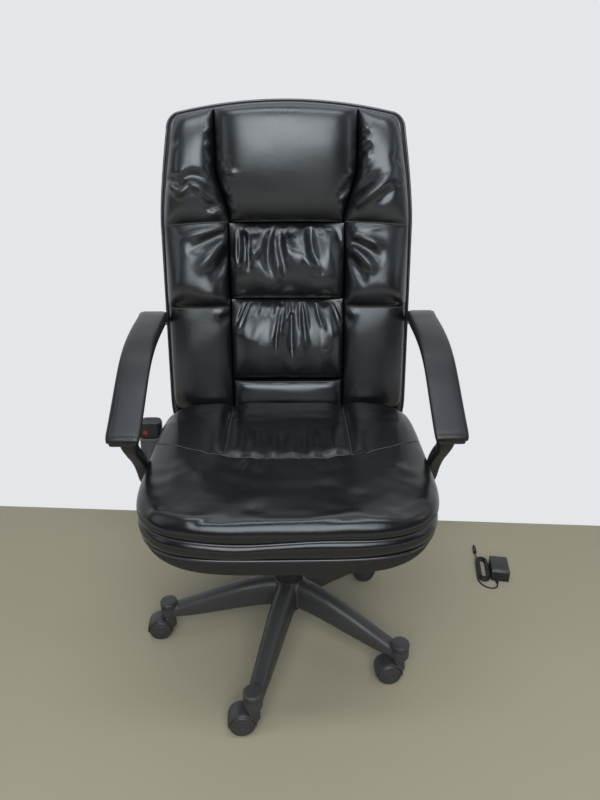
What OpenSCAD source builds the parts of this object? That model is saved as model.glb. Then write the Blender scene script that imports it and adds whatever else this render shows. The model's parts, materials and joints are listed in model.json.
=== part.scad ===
// High-back massage chair on a five-leg caster base. Millimetres, +Z up.
// The origin is on the gas column's axis at floor level, and the chair faces -Y.

/* [Base and casters] */
// Distance from the column axis to each caster stem
stem_circle_r = 272; // [240:1:300]
// Direction of the first leg, from +X towards +Y
first_leg_angle = -104.9; // [-180:0.1:180]
// Outer radius of the hub
hub_r = 44; // [42:0.5:48]
// Height of the hub's top face
hub_top_z = 152; // [146:1:165]
// Height of the hub's lower face
hub_bottom_z = 80; // [72:1:90]
// Height of the top of each leg where it meets its caster boss
leg_tip_z = 83; // [80:1:90]
// Width of a leg's foot at the hub
leg_root_w = 48; // [40:1:49]
// Width of a leg's foot at the caster boss
leg_tip_w = 33; // [26:1:36]
// Radius of the round boss over each caster
boss_r = 19; // [16:0.5:24]
// Height of the boss top
boss_top_z = 95; // [92:1:104]
// Diameter of the caster wheels
wheel_d = 50; // [44:1:54]
// Width of one caster wheel
wheel_w = 18; // [14:0.5:22]
// Horizontal distance from a caster's stem to its wheel axle
caster_trail = 22; // [16:0.5:26]
// Direction in which every caster trails, from +X towards +Y
caster_angle = 184; // [0:1:360]
// Diameter of the caster stems
stem_d = 11; // [9:0.5:12]

/* [Gas column] */
// Diameter of the column's pressure tube
column_d = 50; // [46:1:52]
// Height of the top of the pressure tube
column_top_z = 275; // [260:1:290]
// Diameter of the piston tube
piston_d = 28; // [25:1:30]
// Wall of each telescopic cover
cover_wall = 1.8; // [1.4:0.1:2.4]
// Gap between one telescopic cover and the next
cover_gap = 0.8; // [0.5:0.1:0.9]
// Length of each telescopic cover
cover_len = 116; // [104:1:122]

/* [Tilt mechanism] */
// Height of the mechanism's lower face
mech_bottom_z = 296; // [292:1:300]
// Width of the mechanism housing
mech_w = 88; // [76:1:100]
// Distance that the tilt pin lies in front of the column axis
tilt_pin_forward = 30; // [29:0.5:34]
// Height of the tilt pin
tilt_pin_z = 322; // [318:0.5:326]
// Diameter of the tilt pin
tilt_pin_d = 12; // [10:0.5:12]
// Sheet thickness of the mechanism's plates
plate_t = 3; // [2.5:0.5:4]
// Distance that the spring cup lies in front of the column axis
spring_cup_forward = 72; // [70:1:78]
// Outer radius of the spring cup
spring_cup_r = 27; // [24:0.5:29]
// Radius of the tension knob
tension_knob_r = 21; // [16:1:26]
// Length of the height lever
lever_len = 195; // [150:1:215]

/* [Seat] */
// Height of the seat's underside
seat_bottom_z = 352; // [351:0.5:356]
// Half the seat's width at its widest
seat_half_w = 271; // [260:1:280]
// Half the seat's depth
seat_half_d = 236; // [225:1:240]
// Distance from the column axis forward to the middle of the seat
seat_centre_forward = 45; // [40:1:55]
// Height of the lower welt above the seat's underside
lower_welt_rise = 59; // [52:1:66]
// Height of the upper welt above the lower welt
roll_h = 35; // [28:1:42]
// Height of the seat's crown above the upper welt
cushion_h = 44; // [36:1:52]
// Distance that the seat's lower border draws in under the seat
border_draw_in = 38; // [30:1:46]
// Thickness of the seat board and the back board
board_t = 12; // [9:0.5:14]

/* [Back] */
// Recline of the back from upright, in degrees
recline = 8.3; // [4:0.1:14]
// Distance from the column axis back to the pads' face at seat height
back_face_y = 190; // [189:1:200]
// Height of that point
back_face_z = 488; // [484:1:494]
// Height of the back above that point, along the back
back_len = 648; // [610:1:670]
// How far the back reaches below that point
back_below = 66; // [50:1:72]
// Half the width of the back
back_half_w = 276; // [270:0.5:282]
// Depth of the back shell from its front rim to its rear face
shell_depth = 60; // [54:1:66]
// Width of the shell's rim beside the pads
rim_w = 28; // [22:1:32]
// Width of the shell's rim above the pads
rim_top = 14; // [10:1:20]
// Distance from the pads' face back to the shell's rim
rim_recess = 40; // [34:1:46]
// Half the width of the middle column of pads
middle_half_w = 126; // [110:1:135]
// Half the width of the head pillow at its top
pillow_half_w = 148; // [136:1:155]

/* [Arms] */
// Distance from the middle plane to the inner side of each arm at its front
arm_inner_x = 264.5; // [258:0.5:270]
// Width of the arm's upper strap
arm_w = 55; // [46:1:60]
// Thickness of the arm's frame along the strap
arm_frame_t = 14; // [11:0.5:16]
// Thickness of the soft arm pad
arm_pad_t = 12; // [8:0.5:14]
// Width of the arm's leg
arm_leg_w = 25; // [20:1:30]

/* [Massage parts] */
// Outer radius of each vibration motor's can
motor_r = 24; // [20:0.5:26]
// Height of each vibration motor's can
motor_h = 22; // [18:0.5:24]
// Width of the handset
handset_w = 42; // [36:1:44]
// Thickness of the handset
handset_t = 20; // [16:0.5:22]
// Length of the handset
handset_len = 108; // [90:1:112]
// Diameter of the handset's buttons
button_d = 9; // [7:0.5:10]
// How far each button stands out of the handset
button_stand = 1.6; // [1.2:0.1:2.2]
// Diameter of the low-voltage plug's barrel
barrel_d = 5.5; // [5:0.1:6.5]

/* [Power adapter] */
// Width of the adapter's case
adapter_w = 44; // [38:1:50]
// Length of the adapter's case
adapter_len = 62; // [54:1:70]
// Height of the adapter's case
adapter_h = 33; // [28:1:38]
// Diameter of the adapter's lead
lead_d = 3.6; // [3.2:0.1:3.8]

/* [Hidden] */

$fn = 48;
eps = 0.01;

// Running clearance of a shaft in its bore, and the gap left between soft pieces
run_gap = 0.05;
soft_gap = 0.3;
bolt_gap = 0.3;

// Colours
black_nylon = [0.13, 0.13, 0.14];
black_leather = [0.07, 0.07, 0.09];
dark_fabric = [0.10, 0.10, 0.10];
steel = [0.55, 0.56, 0.58];
plywood = [0.72, 0.56, 0.36];

// ---------------------------------------------------------------- helpers

function mean(list, i = 0) = i >= len(list) ? [0, 0, 0] : list[i] / len(list) + mean(list, i + 1);
function smooth(t) = let (c = min(1, max(0, t))) c * c * (3 - 2 * c);
function mix(a, b, t) = a + (b - a) * t;
function unit(v) = v / norm(v);
function signed_pow(x, p) = sign(x) * pow(abs(x), p);

// Value at x of a line through [x, value] pairs that rise in x
function follow(pairs, x, i = 0) =
    x <= pairs[0][0] ? pairs[0][1]
    : i >= len(pairs) - 1 ? pairs[len(pairs) - 1][1]
    : x <= pairs[i + 1][0]
        ? mix(pairs[i][1], pairs[i + 1][1], (x - pairs[i][0]) / (pairs[i + 1][0] - pairs[i][0]))
        : follow(pairs, x, i + 1);

// Smooth curve through a list of points: position at t, counted in points
function spline(p, t) =
    let (n = len(p), k = min(n - 2, floor(t)), f = t - k,
         p0 = p[max(0, k - 1)], p1 = p[k], p2 = p[k + 1], p3 = p[min(n - 1, k + 2)])
    0.5 * (2 * p1 + (p2 - p0) * f + (2 * p0 - 5 * p1 + 4 * p2 - p3) * f * f
        + (3 * p1 - p0 - 3 * p2 + p3) * f * f * f);

// Closed solid through a list of rings with equal counts of points
module loft(rings) {
    n = len(rings[0]);
    m = len(rings);
    points = concat([for (r = rings) each r], [mean(rings[0]), mean(rings[m - 1])]);
    sides = [for (j = [0:m - 2], i = [0:n - 1])
        each let (a = j * n + i, b = j * n + (i + 1) % n) [[a, a + n, b], [b, a + n, b + n]]];
    low_cap = [for (i = [0:n - 1]) [m * n, i, (i + 1) % n]];
    high_cap = [for (i = [0:n - 1]) [m * n + 1, (m - 1) * n + (i + 1) % n, (m - 1) * n + i]];
    polyhedron(concat(points), concat(sides, low_cap, high_cap));
}

// Round tube of radius r along a list of points, square to the path at both ends
function tube_rings(path, r, sides) =
    [for (k = [0:len(path) - 1])
        let (d = unit(path[min(len(path) - 1, k + 1)] - path[max(0, k - 1)]),
             side = unit(cross(d, [0, 0, 1])), up = cross(d, side))
        [for (i = [0:sides - 1])
            let (a = 360 * i / sides) path[k] + r * (cos(a) * side + sin(a) * up)]];

// Pad on a grid: outer(s, t) gives the place in the pad's plane and rise(s, t) its height.
// s and t run from -1 to 1. The pad's back is flat, at floor_w.
module grid_pad(nu, nv, floor_w, outer, rise) {
    function spread(k, n) = sin(90 * (2 * k / n - 1));
    function at(i, j) = let (s = spread(i, nu), t = spread(j, nv), p = outer(s, t))
        [p[0], p[1], rise(s, t)];
    row = nu + 1;
    top = [for (j = [0:nv], i = [0:nu]) at(i, j)];
    loop = concat([for (i = [0:nu - 1]) [i, 0]], [for (j = [0:nv - 1]) [nu, j]],
        [for (i = [nu:-1:1]) [i, nv]], [for (j = [nv:-1:1]) [0, j]]);
    low = [for (e = loop) let (p = at(e[0], e[1])) [p[0], p[1], floor_w]];
    n = len(loop);
    base = len(top);
    skin = [for (j = [0:nv - 1], i = [0:nu - 1])
        each let (a = j * row + i) [[a, a + row, a + 1], [a + 1, a + row, a + row + 1]]];
    wall = [for (k = [0:n - 1]) let (m = (k + 1) % n,
        a = base + k, b = base + m, c = loop[k][1] * row + loop[k][0], d = loop[m][1] * row + loop[m][0])
        each [[a, c, b], [b, c, d]]];
    under = [for (k = [0:n - 1]) [base + n, base + k, base + (k + 1) % n]];
    polyhedron(concat(top, low, [mean(low)]), concat(skin, wall, under));
}

// ---------------------------------------------------------------- base

leg_angles = [for (i = [0:4]) first_leg_angle + 72 * i];
boss_bottom_z = 59;
leg_start_r = hub_r - 10;
leg_end_r = stem_circle_r - 6;
leg_places = [0, 0.12, 0.33, 0.56, 0.78, 1];
// Heights along a leg: how much of the drop from hub to boss is done at each share of its length
leg_drop = [[0, 0], [0.12, 0.03], [0.33, 0.18], [0.56, 0.44], [0.78, 0.73], [1, 1]];
leg_bottom_root_z = hub_bottom_z + 8;
leg_bottom_tip_z = boss_bottom_z + 1;
leg_top_share = 0.5;
leg_shoulder = 5;

function leg_ring(r) =
    let (t = (r - leg_start_r) / (leg_end_r - leg_start_r),
         top = hub_top_z - 2 - (hub_top_z - 2 - leg_tip_z) * follow(leg_drop, t),
         low = mix(leg_bottom_root_z, leg_bottom_tip_z, smooth(t)),
         half = mix(leg_root_w, leg_tip_w, t) / 2,
         crest = half * leg_top_share)
    [[r, -half, low], [r, half, low], [r, half, low + (top - low) * 0.45],
     [r, crest + leg_shoulder * 0.6, top - leg_shoulder], [r, crest * 0.7, top], [r, -crest * 0.7, top],
     [r, -crest - leg_shoulder * 0.6, top - leg_shoulder], [r, -half, low + (top - low) * 0.45]];

module star_base() {
    color(black_nylon)
    difference() {
        union() {
            translate([0, 0, hub_bottom_z]) cylinder(r = hub_r, h = hub_top_z - hub_bottom_z);
            for (a = leg_angles) rotate(a) {
                loft([for (t = leg_places) leg_ring(mix(leg_start_r, leg_end_r, t))]);
                translate([stem_circle_r, 0, boss_bottom_z]) cylinder(r = boss_r, h = boss_top_z - boss_bottom_z);
            }
        }
        translate([0, 0, hub_bottom_z - 1]) cylinder(d = column_d, h = hub_top_z - hub_bottom_z + 2);
        for (a = leg_angles) rotate(a) translate([stem_circle_r, 0, boss_bottom_z - 1])
            cylinder(d = stem_d + 2 * run_gap, h = stem_len + 1.5);
    }
}

// ---------------------------------------------------------------- casters

wheel_r = wheel_d / 2;
axle_d = 6;
fork_half = 3;
wheel_side_gap = 0.5;
stem_len = 24;
collar_t = 2;
collar_r = 9;
hood_r = wheel_r + 4;
hood_wall = 2.5;
hood_half = fork_half + wheel_side_gap + wheel_w - 2;
neck_r = 11;
caster_top_z = boss_bottom_z - soft_gap - collar_t;

module at_caster(i) {
    rotate(leg_angles[i]) translate([stem_circle_r, 0, 0]) rotate(caster_angle - leg_angles[i]) children();
}

// The hood trails along +X of its own frame; its wheels' axle lies along Y
module caster_hood(i) {
    color(black_nylon)
    at_caster(i) difference() {
        union() {
            translate([caster_trail, 0, wheel_r]) rotate([90, 0, 0])
                cylinder(r = wheel_r * 0.62, h = 2 * fork_half, center = true);
            translate([0, 0, wheel_r + 2]) cylinder(r = neck_r, h = caster_top_z - wheel_r - 2);
            translate([0, -fork_half, wheel_r + 2]) cube([caster_trail, 2 * fork_half, wheel_r]);
            intersection() {
                translate([caster_trail, 0, wheel_r]) rotate([90, 0, 0]) difference() {
                    cylinder(r = hood_r, h = 2 * hood_half, center = true, $fn = 64);
                    cylinder(r = hood_r - hood_wall, h = 2 * hood_half + 1, center = true, $fn = 64);
                }
                translate([caster_trail - hood_r, -hood_half, wheel_r + 4]) cube([2 * hood_r, 2 * hood_half, hood_r]);
            }
        }
        translate([caster_trail, 0, wheel_r]) rotate([90, 0, 0])
            cylinder(d = axle_d + 2 * run_gap, h = 2 * fork_half + 1, center = true);
        // Room for the wheels beside the neck
        for (s = [-1, 1]) translate([caster_trail, s * (fork_half + wheel_w / 2 + wheel_side_gap / 2), wheel_r])
            rotate([90, 0, 0]) cylinder(r = wheel_r + 0.8, h = wheel_w + wheel_side_gap + 0.5, center = true, $fn = 64);
        translate([0, 0, caster_top_z - 14]) cylinder(d = stem_d - 2, h = 15);
    }
}

module caster_stem(i) {
    color(steel)
    at_caster(i) {
        translate([0, 0, caster_top_z - 14]) cylinder(d = stem_d - 2, h = 14 + eps);
        translate([0, 0, caster_top_z]) cylinder(r = collar_r, h = collar_t);
        translate([0, 0, caster_top_z + collar_t - eps]) cylinder(d = stem_d, h = stem_len - 1);
    }
}

module caster_wheels(i) {
    color([0.2, 0.2, 0.21])
    at_caster(i) translate([caster_trail, 0, wheel_r]) rotate([90, 0, 0]) {
        cylinder(d = axle_d, h = 2 * (fork_half + wheel_side_gap) + 2, center = true);
        for (s = [0, 1]) mirror([0, 0, s]) translate([0, 0, fork_half + wheel_side_gap]) rotate_extrude($fn = 64)
            polygon([[0, 0], [wheel_r - 1.5, 0], [wheel_r, 1.5], [wheel_r, wheel_w - 5],
                [wheel_r - 1.2, wheel_w - 2.2], [wheel_r - 4, wheel_w], [wheel_r - 7, wheel_w],
                [wheel_r - 8, wheel_w - 1.5], [6, wheel_w - 0.5], [0, wheel_w]]);
    }
}

// ---------------------------------------------------------------- gas column

column_bottom_z = hub_bottom_z - 12;
piston_r = piston_d / 2;
bush_len = 34;
tube_wall = 2.5;
piston_bottom_z = column_bottom_z + 18;
piston_top_z = mech_bottom_z + 36;
cover_1_in = column_d / 2 + 5;
cover_2_in = cover_1_in + cover_wall + cover_gap;
cover_3_in = cover_2_in + cover_wall + cover_gap;

module sleeve(r_in, wall, z, h) {
    translate([0, 0, z]) difference() {
        cylinder(r = r_in + wall, h = h, $fn = 64);
        translate([0, 0, -1]) cylinder(r = r_in, h = h + 2, $fn = 64);
    }
}

module column_tube() {
    color([0.1, 0.1, 0.1])
    difference() {
        translate([0, 0, column_bottom_z]) cylinder(d = column_d, h = column_top_z - column_bottom_z);
        translate([0, 0, column_bottom_z + 3])
            cylinder(r = column_d / 2 - tube_wall, h = column_top_z - bush_len - column_bottom_z - 3);
        translate([0, 0, column_bottom_z + 4]) cylinder(r = piston_r + run_gap, h = column_top_z);
    }
}

module gas_piston() {
    color(steel)
    translate([0, 0, piston_bottom_z]) cylinder(r = piston_r, h = piston_top_z - piston_bottom_z);
}

module cover_lower() { color(black_nylon) sleeve(cover_1_in, cover_wall, hub_top_z, cover_len); }
module cover_mid() {
    color(black_nylon)
    sleeve(cover_2_in, cover_wall, (hub_top_z + mech_bottom_z - cover_len) / 2, cover_len);
}
module cover_upper() { color(black_nylon) sleeve(cover_3_in, cover_wall, mech_bottom_z - cover_len, cover_len); }

// ---------------------------------------------------------------- tilt mechanism

socket_r = piston_r + 6;
socket_top_z = piston_top_z + 1;
housing_half = mech_w / 2;
housing_front_y = -spring_cup_forward - spring_cup_r - 2;
housing_rear_y = 60;
housing_top_z = tilt_pin_z + 18;
housing_rear_z = tilt_pin_z - 4;
spring_wall = 3;
cup_bottom_z = mech_bottom_z - 34;
cup_top_z = tilt_pin_z;
knob_top_z = cup_bottom_z - 2;
knob_h = 24;
knob_stem_d = 9;
lever_y = 22;
lever_z = mech_bottom_z + 12;
lever_rod_d = 8;
lever_paddle_len = 62;
lever_paddle_w = 26;
lever_paddle_t = 8;
ear_half = 16;

module housing_side() {
    rotate([90, 0, 90]) linear_extrude(plate_t) polygon([
        [housing_front_y, mech_bottom_z], [housing_rear_y, mech_bottom_z],
        [housing_rear_y, housing_rear_z], [-tilt_pin_forward + ear_half, housing_top_z],
        [housing_front_y, housing_top_z]]);
}

module mech_housing() {
    color([0.09, 0.09, 0.1])
    difference() {
        union() {
            translate([-housing_half, 0, 0]) housing_side();
            translate([housing_half - plate_t, 0, 0]) housing_side();
            translate([-housing_half, housing_front_y, mech_bottom_z])
                cube([2 * housing_half, housing_rear_y - housing_front_y, plate_t]);
            translate([-housing_half, housing_front_y, mech_bottom_z])
                cube([2 * housing_half, plate_t, housing_top_z - mech_bottom_z]);
            translate([0, 0, mech_bottom_z]) cylinder(r = socket_r, h = socket_top_z - mech_bottom_z);
            translate([0, -spring_cup_forward, cup_bottom_z]) cylinder(r = spring_cup_r, h = cup_top_z - cup_bottom_z);
            translate([-housing_half, lever_y - 7, mech_bottom_z]) cube([14, 14, 22]);
        }
        translate([0, 0, mech_bottom_z - 1]) cylinder(r = piston_r + run_gap, h = piston_top_z - mech_bottom_z + 1);
        translate([0, -spring_cup_forward, cup_bottom_z + spring_wall])
            cylinder(r = spring_cup_r - spring_wall, h = cup_top_z - cup_bottom_z);
        translate([0, -spring_cup_forward, cup_bottom_z - 1]) cylinder(d = knob_stem_d + 2 * run_gap, h = 10);
        translate([-housing_half - 1, -tilt_pin_forward, tilt_pin_z]) rotate([0, 90, 0])
            cylinder(d = tilt_pin_d + 2 * run_gap, h = 2 * housing_half + 2);
        // Slot and pivot of the height lever
        translate([-housing_half - 1, lever_y - 4.5, lever_z - 5.5]) cube([13, 9, 12]);
        translate([-housing_half + 7, lever_y - 8, lever_z]) rotate([-90, 0, 0]) cylinder(d = 4 + 2 * run_gap, h = 16);
    }
}

spring_wire_d = 4.5;
spring_turns = 7;
spring_mean_r = spring_cup_r - spring_wall - spring_wire_d / 2 - 1;
spring_low_z = cup_bottom_z + spring_wall + spring_wire_d / 2 + 0.2;
spring_high_z = cup_top_z + 14;

module tilt_spring() {
    steps = spring_turns * 12;
    path = [for (k = [0:steps]) let (a = 360 * spring_turns * k / steps)
        [spring_mean_r * cos(a), spring_mean_r * sin(a) - spring_cup_forward,
         mix(spring_low_z, spring_high_z, k / steps)]];
    color(steel) loft(tube_rings(path, spring_wire_d / 2, 6));
}

module tension_knob() {
    color(black_nylon)
    translate([0, -spring_cup_forward, 0]) difference() {
        union() {
            translate([0, 0, knob_top_z - knob_h]) rotate_extrude() polygon([
                [0, 0], [tension_knob_r - 4, 0], [tension_knob_r, 4], [tension_knob_r, knob_h - 3],
                [tension_knob_r - 6, knob_h], [0, knob_h]]);
            translate([0, 0, knob_top_z - 1]) cylinder(d = knob_stem_d, h = 9);
        }
        for (a = [0:45:315]) rotate(a) translate([tension_knob_r + 3, 0, knob_top_z - knob_h - 1])
            cylinder(r = 5, h = knob_h + 2);
    }
}

module height_lever() {
    color(black_nylon)
    translate([0, lever_y, lever_z]) {
        translate([-housing_half + 7, 0, 0]) rotate([90, 0, 0]) cylinder(d = 4, h = 12, center = true);
        translate([-housing_half + 8, 0, 0]) rotate([0, -90, 0]) cylinder(d = lever_rod_d, h = lever_len - lever_paddle_len / 2);
        translate([-housing_half + 8 - lever_len, 0, 0]) difference() {
            translate([0, -lever_paddle_w / 2, -lever_paddle_t / 2])
                cube([lever_paddle_len, lever_paddle_w, lever_paddle_t]);
            for (s = [-1, 1]) translate([-1, s * lever_paddle_w / 2, lever_paddle_t / 2 + 2]) rotate([0, 90, 0]) cylinder(r = 3, h = lever_paddle_len + 2);
        }
    }
}

plate_half_w = 95;
plate_half_d = 108;
plate_bolt_x = 78;
plate_bolt_y = 92;
ear_gap = 0.4;
ear_r = 13;
bolt_d = 6;

module mech_top_plate() {
    color([0.12, 0.12, 0.13])
    difference() {
        union() {
            translate([-plate_half_w, -plate_half_d, seat_bottom_z - plate_t])
                cube([2 * plate_half_w, 2 * plate_half_d, plate_t]);
            for (s = [0, 1]) mirror([s, 0, 0])
                translate([housing_half + ear_gap, -tilt_pin_forward, 0]) rotate([90, 0, 90]) {
                    translate([0, tilt_pin_z]) cylinder(r = ear_r, h = plate_t);
                    translate([-ear_r, tilt_pin_z, 0]) cube([2 * ear_r, seat_bottom_z - plate_t - tilt_pin_z + 1, plate_t]);
                }
            translate([-housing_half - ear_gap - plate_t, -tilt_pin_forward, tilt_pin_z]) rotate([0, 90, 0])
                cylinder(d = tilt_pin_d, h = 2 * (housing_half + ear_gap + plate_t));
            for (x = [-1, 1], y = [-1, 1]) translate([x * plate_bolt_x, y * plate_bolt_y, 0]) {
                translate([0, 0, seat_bottom_z - plate_t - 4]) cylinder(r = 5.5, h = 4 + eps, $fn = 6);
                translate([0, 0, seat_bottom_z - plate_t - eps]) cylinder(d = bolt_d, h = plate_t + 9);
            }
        }
    }
}

// ---------------------------------------------------------------- seat

front_power = 4.2;
rear_power = 8;
outline_points = 72;
side_bulge = 3;
lower_welt_z = seat_bottom_z + lower_welt_rise;
upper_welt_z = lower_welt_z + roll_h;
seat_top_z = upper_welt_z + cushion_h;

// The seat's outline, drawn in by d all round
function seat_outline(d) =
    [for (i = [0:outline_points - 1])
        let (a = 360 * (i + 0.5) / outline_points, g = a + (a < 180 ? 7 * sin(4 * a) : 0),
             power = a < 180 ? rear_power : front_power,
             x = signed_pow(cos(g), 2 / power), y = signed_pow(sin(g), 2 / power))
        [(seat_half_w - d) * x, (seat_half_d - d) * y - seat_centre_forward]];
function lift(outline, z) = [for (p = outline) [p[0], p[1], z]];

board_draw_in = border_draw_in + 7;

module seat_board() {
    color(plywood)
    difference() {
        translate([0, 0, seat_bottom_z]) linear_extrude(board_t) polygon(seat_outline(board_draw_in));
        for (x = [-1, 1], y = [-1, 1]) translate([x * plate_bolt_x, y * plate_bolt_y, seat_bottom_z - 1])
            cylinder(d = bolt_d, h = 10);
        for (x = [-1, 1], y = foot_bolt_y) translate([x * foot_bolt_x, y, seat_bottom_z - 1])
            cylinder(d = bolt_d, h = 10);
    }
}

// Padded border under the lower welt, wrapped round the board
module seat_border() {
    color(dark_fabric)
    difference() {
        loft([lift(seat_outline(border_draw_in), seat_bottom_z),
            lift(seat_outline(border_draw_in * 0.62), mix(seat_bottom_z, lower_welt_z, 0.2)),
            lift(seat_outline(border_draw_in * 0.3), mix(seat_bottom_z, lower_welt_z, 0.48)),
            lift(seat_outline(border_draw_in * 0.1), mix(seat_bottom_z, lower_welt_z, 0.76)),
            lift(seat_outline(2), lower_welt_z - soft_gap)]);
        translate([0, 0, seat_bottom_z - 1]) linear_extrude(board_t + 1 + soft_gap)
            polygon(seat_outline(board_draw_in - soft_gap));
        for (x = motor_seat_x) translate([x, motor_seat_y, seat_bottom_z + board_t - 1])
            cylinder(r = motor_r + 1, h = motor_h + 2);
    }
}

module seat_lower_roll() {
    color(black_leather)
    loft([lift(seat_outline(7), lower_welt_z), lift(seat_outline(1), lower_welt_z + roll_h * 0.12),
        lift(seat_outline(-side_bulge), lower_welt_z + roll_h * 0.36),
        lift(seat_outline(-side_bulge), lower_welt_z + roll_h * 0.66),
        lift(seat_outline(1), upper_welt_z - roll_h * 0.12), lift(seat_outline(7), upper_welt_z - soft_gap)]);
}

// Depth of the sewn channels at a point of the seat's top
cross_seam_y = -70;
cross_seam_bow = 74;
side_seam_x = 124;
seam_half = 13;
seam_depth = 5;
function dip(d, half) = abs(d) >= half ? 0 : pow(cos(90 * d / half), 2);
function seat_seam(x, y) =
    let (line = cross_seam_y + cross_seam_bow * pow(x / seat_half_w, 2))
    seam_depth * max(dip(y - line, seam_half), y > line ? dip(abs(x) - side_seam_x, seam_half) : 0);
// Pairs of distance in from the edge and share of the crown's height
crown_steps = [[4, 0], [-side_bulge, 0.2], [-1, 0.42], [7, 0.64], [20, 0.8], [38, 0.9], [58, 0.955],
    [80, 0.985], [102, 1], [126, 1.01], [150, 1.015], [178, 1.02], [206, 1.02]];

module seat_cushion() {
    rear_limit = back_face_y - (back_face_z - upper_welt_z) * tan(recline) - 1;
    color(black_leather)
    loft([for (c = crown_steps)
        [for (p = seat_outline(c[0]))
            [p[0], min(p[1], rear_limit), upper_welt_z + cushion_h * c[1] - seat_seam(p[0], p[1]) * smooth(c[1] * 1.3 - 0.3)]]]);
}

// ---------------------------------------------------------------- back

pocket_half_w = back_half_w - rim_w;
shell_front_w = -rim_recess;
shell_rear_w = -rim_recess - shell_depth;
board_rear_w = shell_front_w - 28;
board_front_w = board_rear_w + board_t;
pad_floor_w = board_front_w + soft_gap;
shoulder_v = 400;
shoulder_draw = 33;
top_arc = 36;
back_corner_r = 26;
foot_draw = 10;

// Half the back's width at a height v along the back
function back_half_at(v) = back_half_w
    - shoulder_draw * pow(max(0, (v - shoulder_v) / (back_len - shoulder_v)), 1.4)
    - foot_draw * pow(max(0, -v / back_below), 2);
// Height of the back's top edge at a distance u from the middle
function back_top_at(u) = back_len - top_arc * pow(u / back_half_w, 2);

// The right half of the back's outline, drawn in by d: foot, side, top corner and top edge
function back_half_outline(d) =
    let (r = back_corner_r, foot_v = -back_below + d, corner_v = back_len - top_arc - r,
         corner_u = back_half_at(corner_v) - r, top_v = back_top_at(corner_u) - d)
    concat(
        [for (a = [-75:25:0]) [back_half_at(foot_v + r) - d - r + r * cos(a), foot_v + r + r * sin(a)]],
        [for (k = [1:9]) let (v = mix(foot_v + r, corner_v, k / 10)) [back_half_at(v) - d, v]],
        [for (a = [0:15:75]) [corner_u - d + r * cos(a), mix(corner_v, top_v - r, a / 90) + r * sin(a)]],
        [for (k = [0:5]) let (u = corner_u * (1 - k / 6) - d * (1 - k / 6)) [u, back_top_at(u) - d]]);
function back_outline(d) = let (half = back_half_outline(d), n = len(half))
    concat(half, [for (k = [n - 1:-1:0]) [-half[k][0], half[k][1]]]);

// The pads' pocket in the shell: its rim is narrower along the top
rim_step_v = shoulder_v + 50;
rim_step_len = 100;
pocket_cut = 50;
function back_pocket(d) =
    [for (p = back_outline(rim_w + d)) [p[0], p[1] + (rim_w - rim_top) * smooth((p[1] - rim_step_v) / rim_step_len)]];

// Puts children drawn as [u, v, w] on the reclined back
module on_back() {
    translate([0, back_face_y, back_face_z]) rotate([90 - recline, 0, 0]) children();
}

module back_shell() {
    color([0.08, 0.08, 0.09])
    difference() {
        on_back() difference() {
            loft([lift(back_outline(22), shell_rear_w), lift(back_outline(14), shell_rear_w + 3),
                lift(back_outline(5), shell_rear_w + 9), lift(back_outline(0), shell_rear_w + 20),
                lift(back_outline(0), shell_front_w - 6), lift(back_outline(2), shell_front_w - 1.5),
                lift(back_outline(5), shell_front_w)]);
            translate([0, 0, board_rear_w - soft_gap]) linear_extrude(pocket_cut) polygon(back_pocket(0));
            for (v = motor_back_v) translate([0, v, board_rear_w - motor_h - 2.5])
                cylinder(r = motor_r + 1, h = motor_h + 4);
        }
        for (b = back_bolts, s = [-1, 1]) translate([s * (back_half_w - 21), b[0], b[1] - back_bolt_drop])
            rotate([0, s * 90, 0]) cylinder(d = back_bolt_d, h = 30);
    }
}

module back_board() {
    color(plywood)
    on_back() translate([0, 0, board_rear_w]) linear_extrude(board_t) polygon(back_pocket(soft_gap));
}

// Rounded fall of a pad towards its edge, from 1 in the middle to 0 at the edge
function fall(s, p) = pow(max(0, 1 - pow(abs(s), p)), 0.5);

pad_gap = 1;
edge_w = -24;
pillow_low_v = 399;
pillow_high_v = back_len - 20;
upper_low_v = 236;
lower_low_v = 52;
strip_low_v = -22;

module head_pillow() {
    crown = 20;
    low = pillow_low_v + pad_gap;
    outer = function(s, t)
        let (v = mix(low, pillow_high_v, (t + 1) / 2),
             half = mix(middle_half_w - 5, pillow_half_w, smooth((v - low) / 120)) - 2 * (t * t) * abs(s))
        [s * half, t > 0 ? v - top_arc * pow(s * half / back_half_w, 2) * t : v];
    rise = function(s, t) mix(edge_w, crown, fall(s, 4) * fall(t, 4));
    color(black_leather) on_back() grid_pad(14, 14, pad_floor_w, outer, rise);
}

// A pad gathered along one edge: folds run away from that edge and fade
module gathered_pad(low_v, high_v, half, crown, folds, fold_h, from_top, reach) {
    outer = function(s, t) [s * half, mix(low_v, high_v, (t + 1) / 2)];
    rise = function(s, t)
        let (away = from_top ? (1 - t) / 2 : (t + 1) / 2, strength = 1 - smooth(away / reach))
        mix(edge_w, crown, fall(s, 5) * fall(t, 5))
            + fold_h * strength * cos(180 * folds * s) * fall(s, 3) * smooth(away / 0.12);
    color(black_leather) on_back() grid_pad(22, 12, pad_floor_w, outer, rise);
}

module lumbar_pad_upper() {
    gathered_pad(upper_low_v + pad_gap, pillow_low_v - pad_gap, middle_half_w - pad_gap, 12, 4, 4, true, 0.8);
}
module lumbar_pad_lower() {
    gathered_pad(lower_low_v + pad_gap, upper_low_v - pad_gap, middle_half_w - pad_gap, 12, 5, 4, true, 0.6);
}
module lumbar_strip() {
    outer = function(s, t) [s * (middle_half_w - pad_gap), mix(strip_low_v, lower_low_v - pad_gap, (t + 1) / 2)];
    rise = function(s, t) mix(edge_w, -3, fall(s, 6) * fall(t, 4));
    color(black_leather) on_back() grid_pad(10, 6, pad_floor_w, outer, rise);
}

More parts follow.
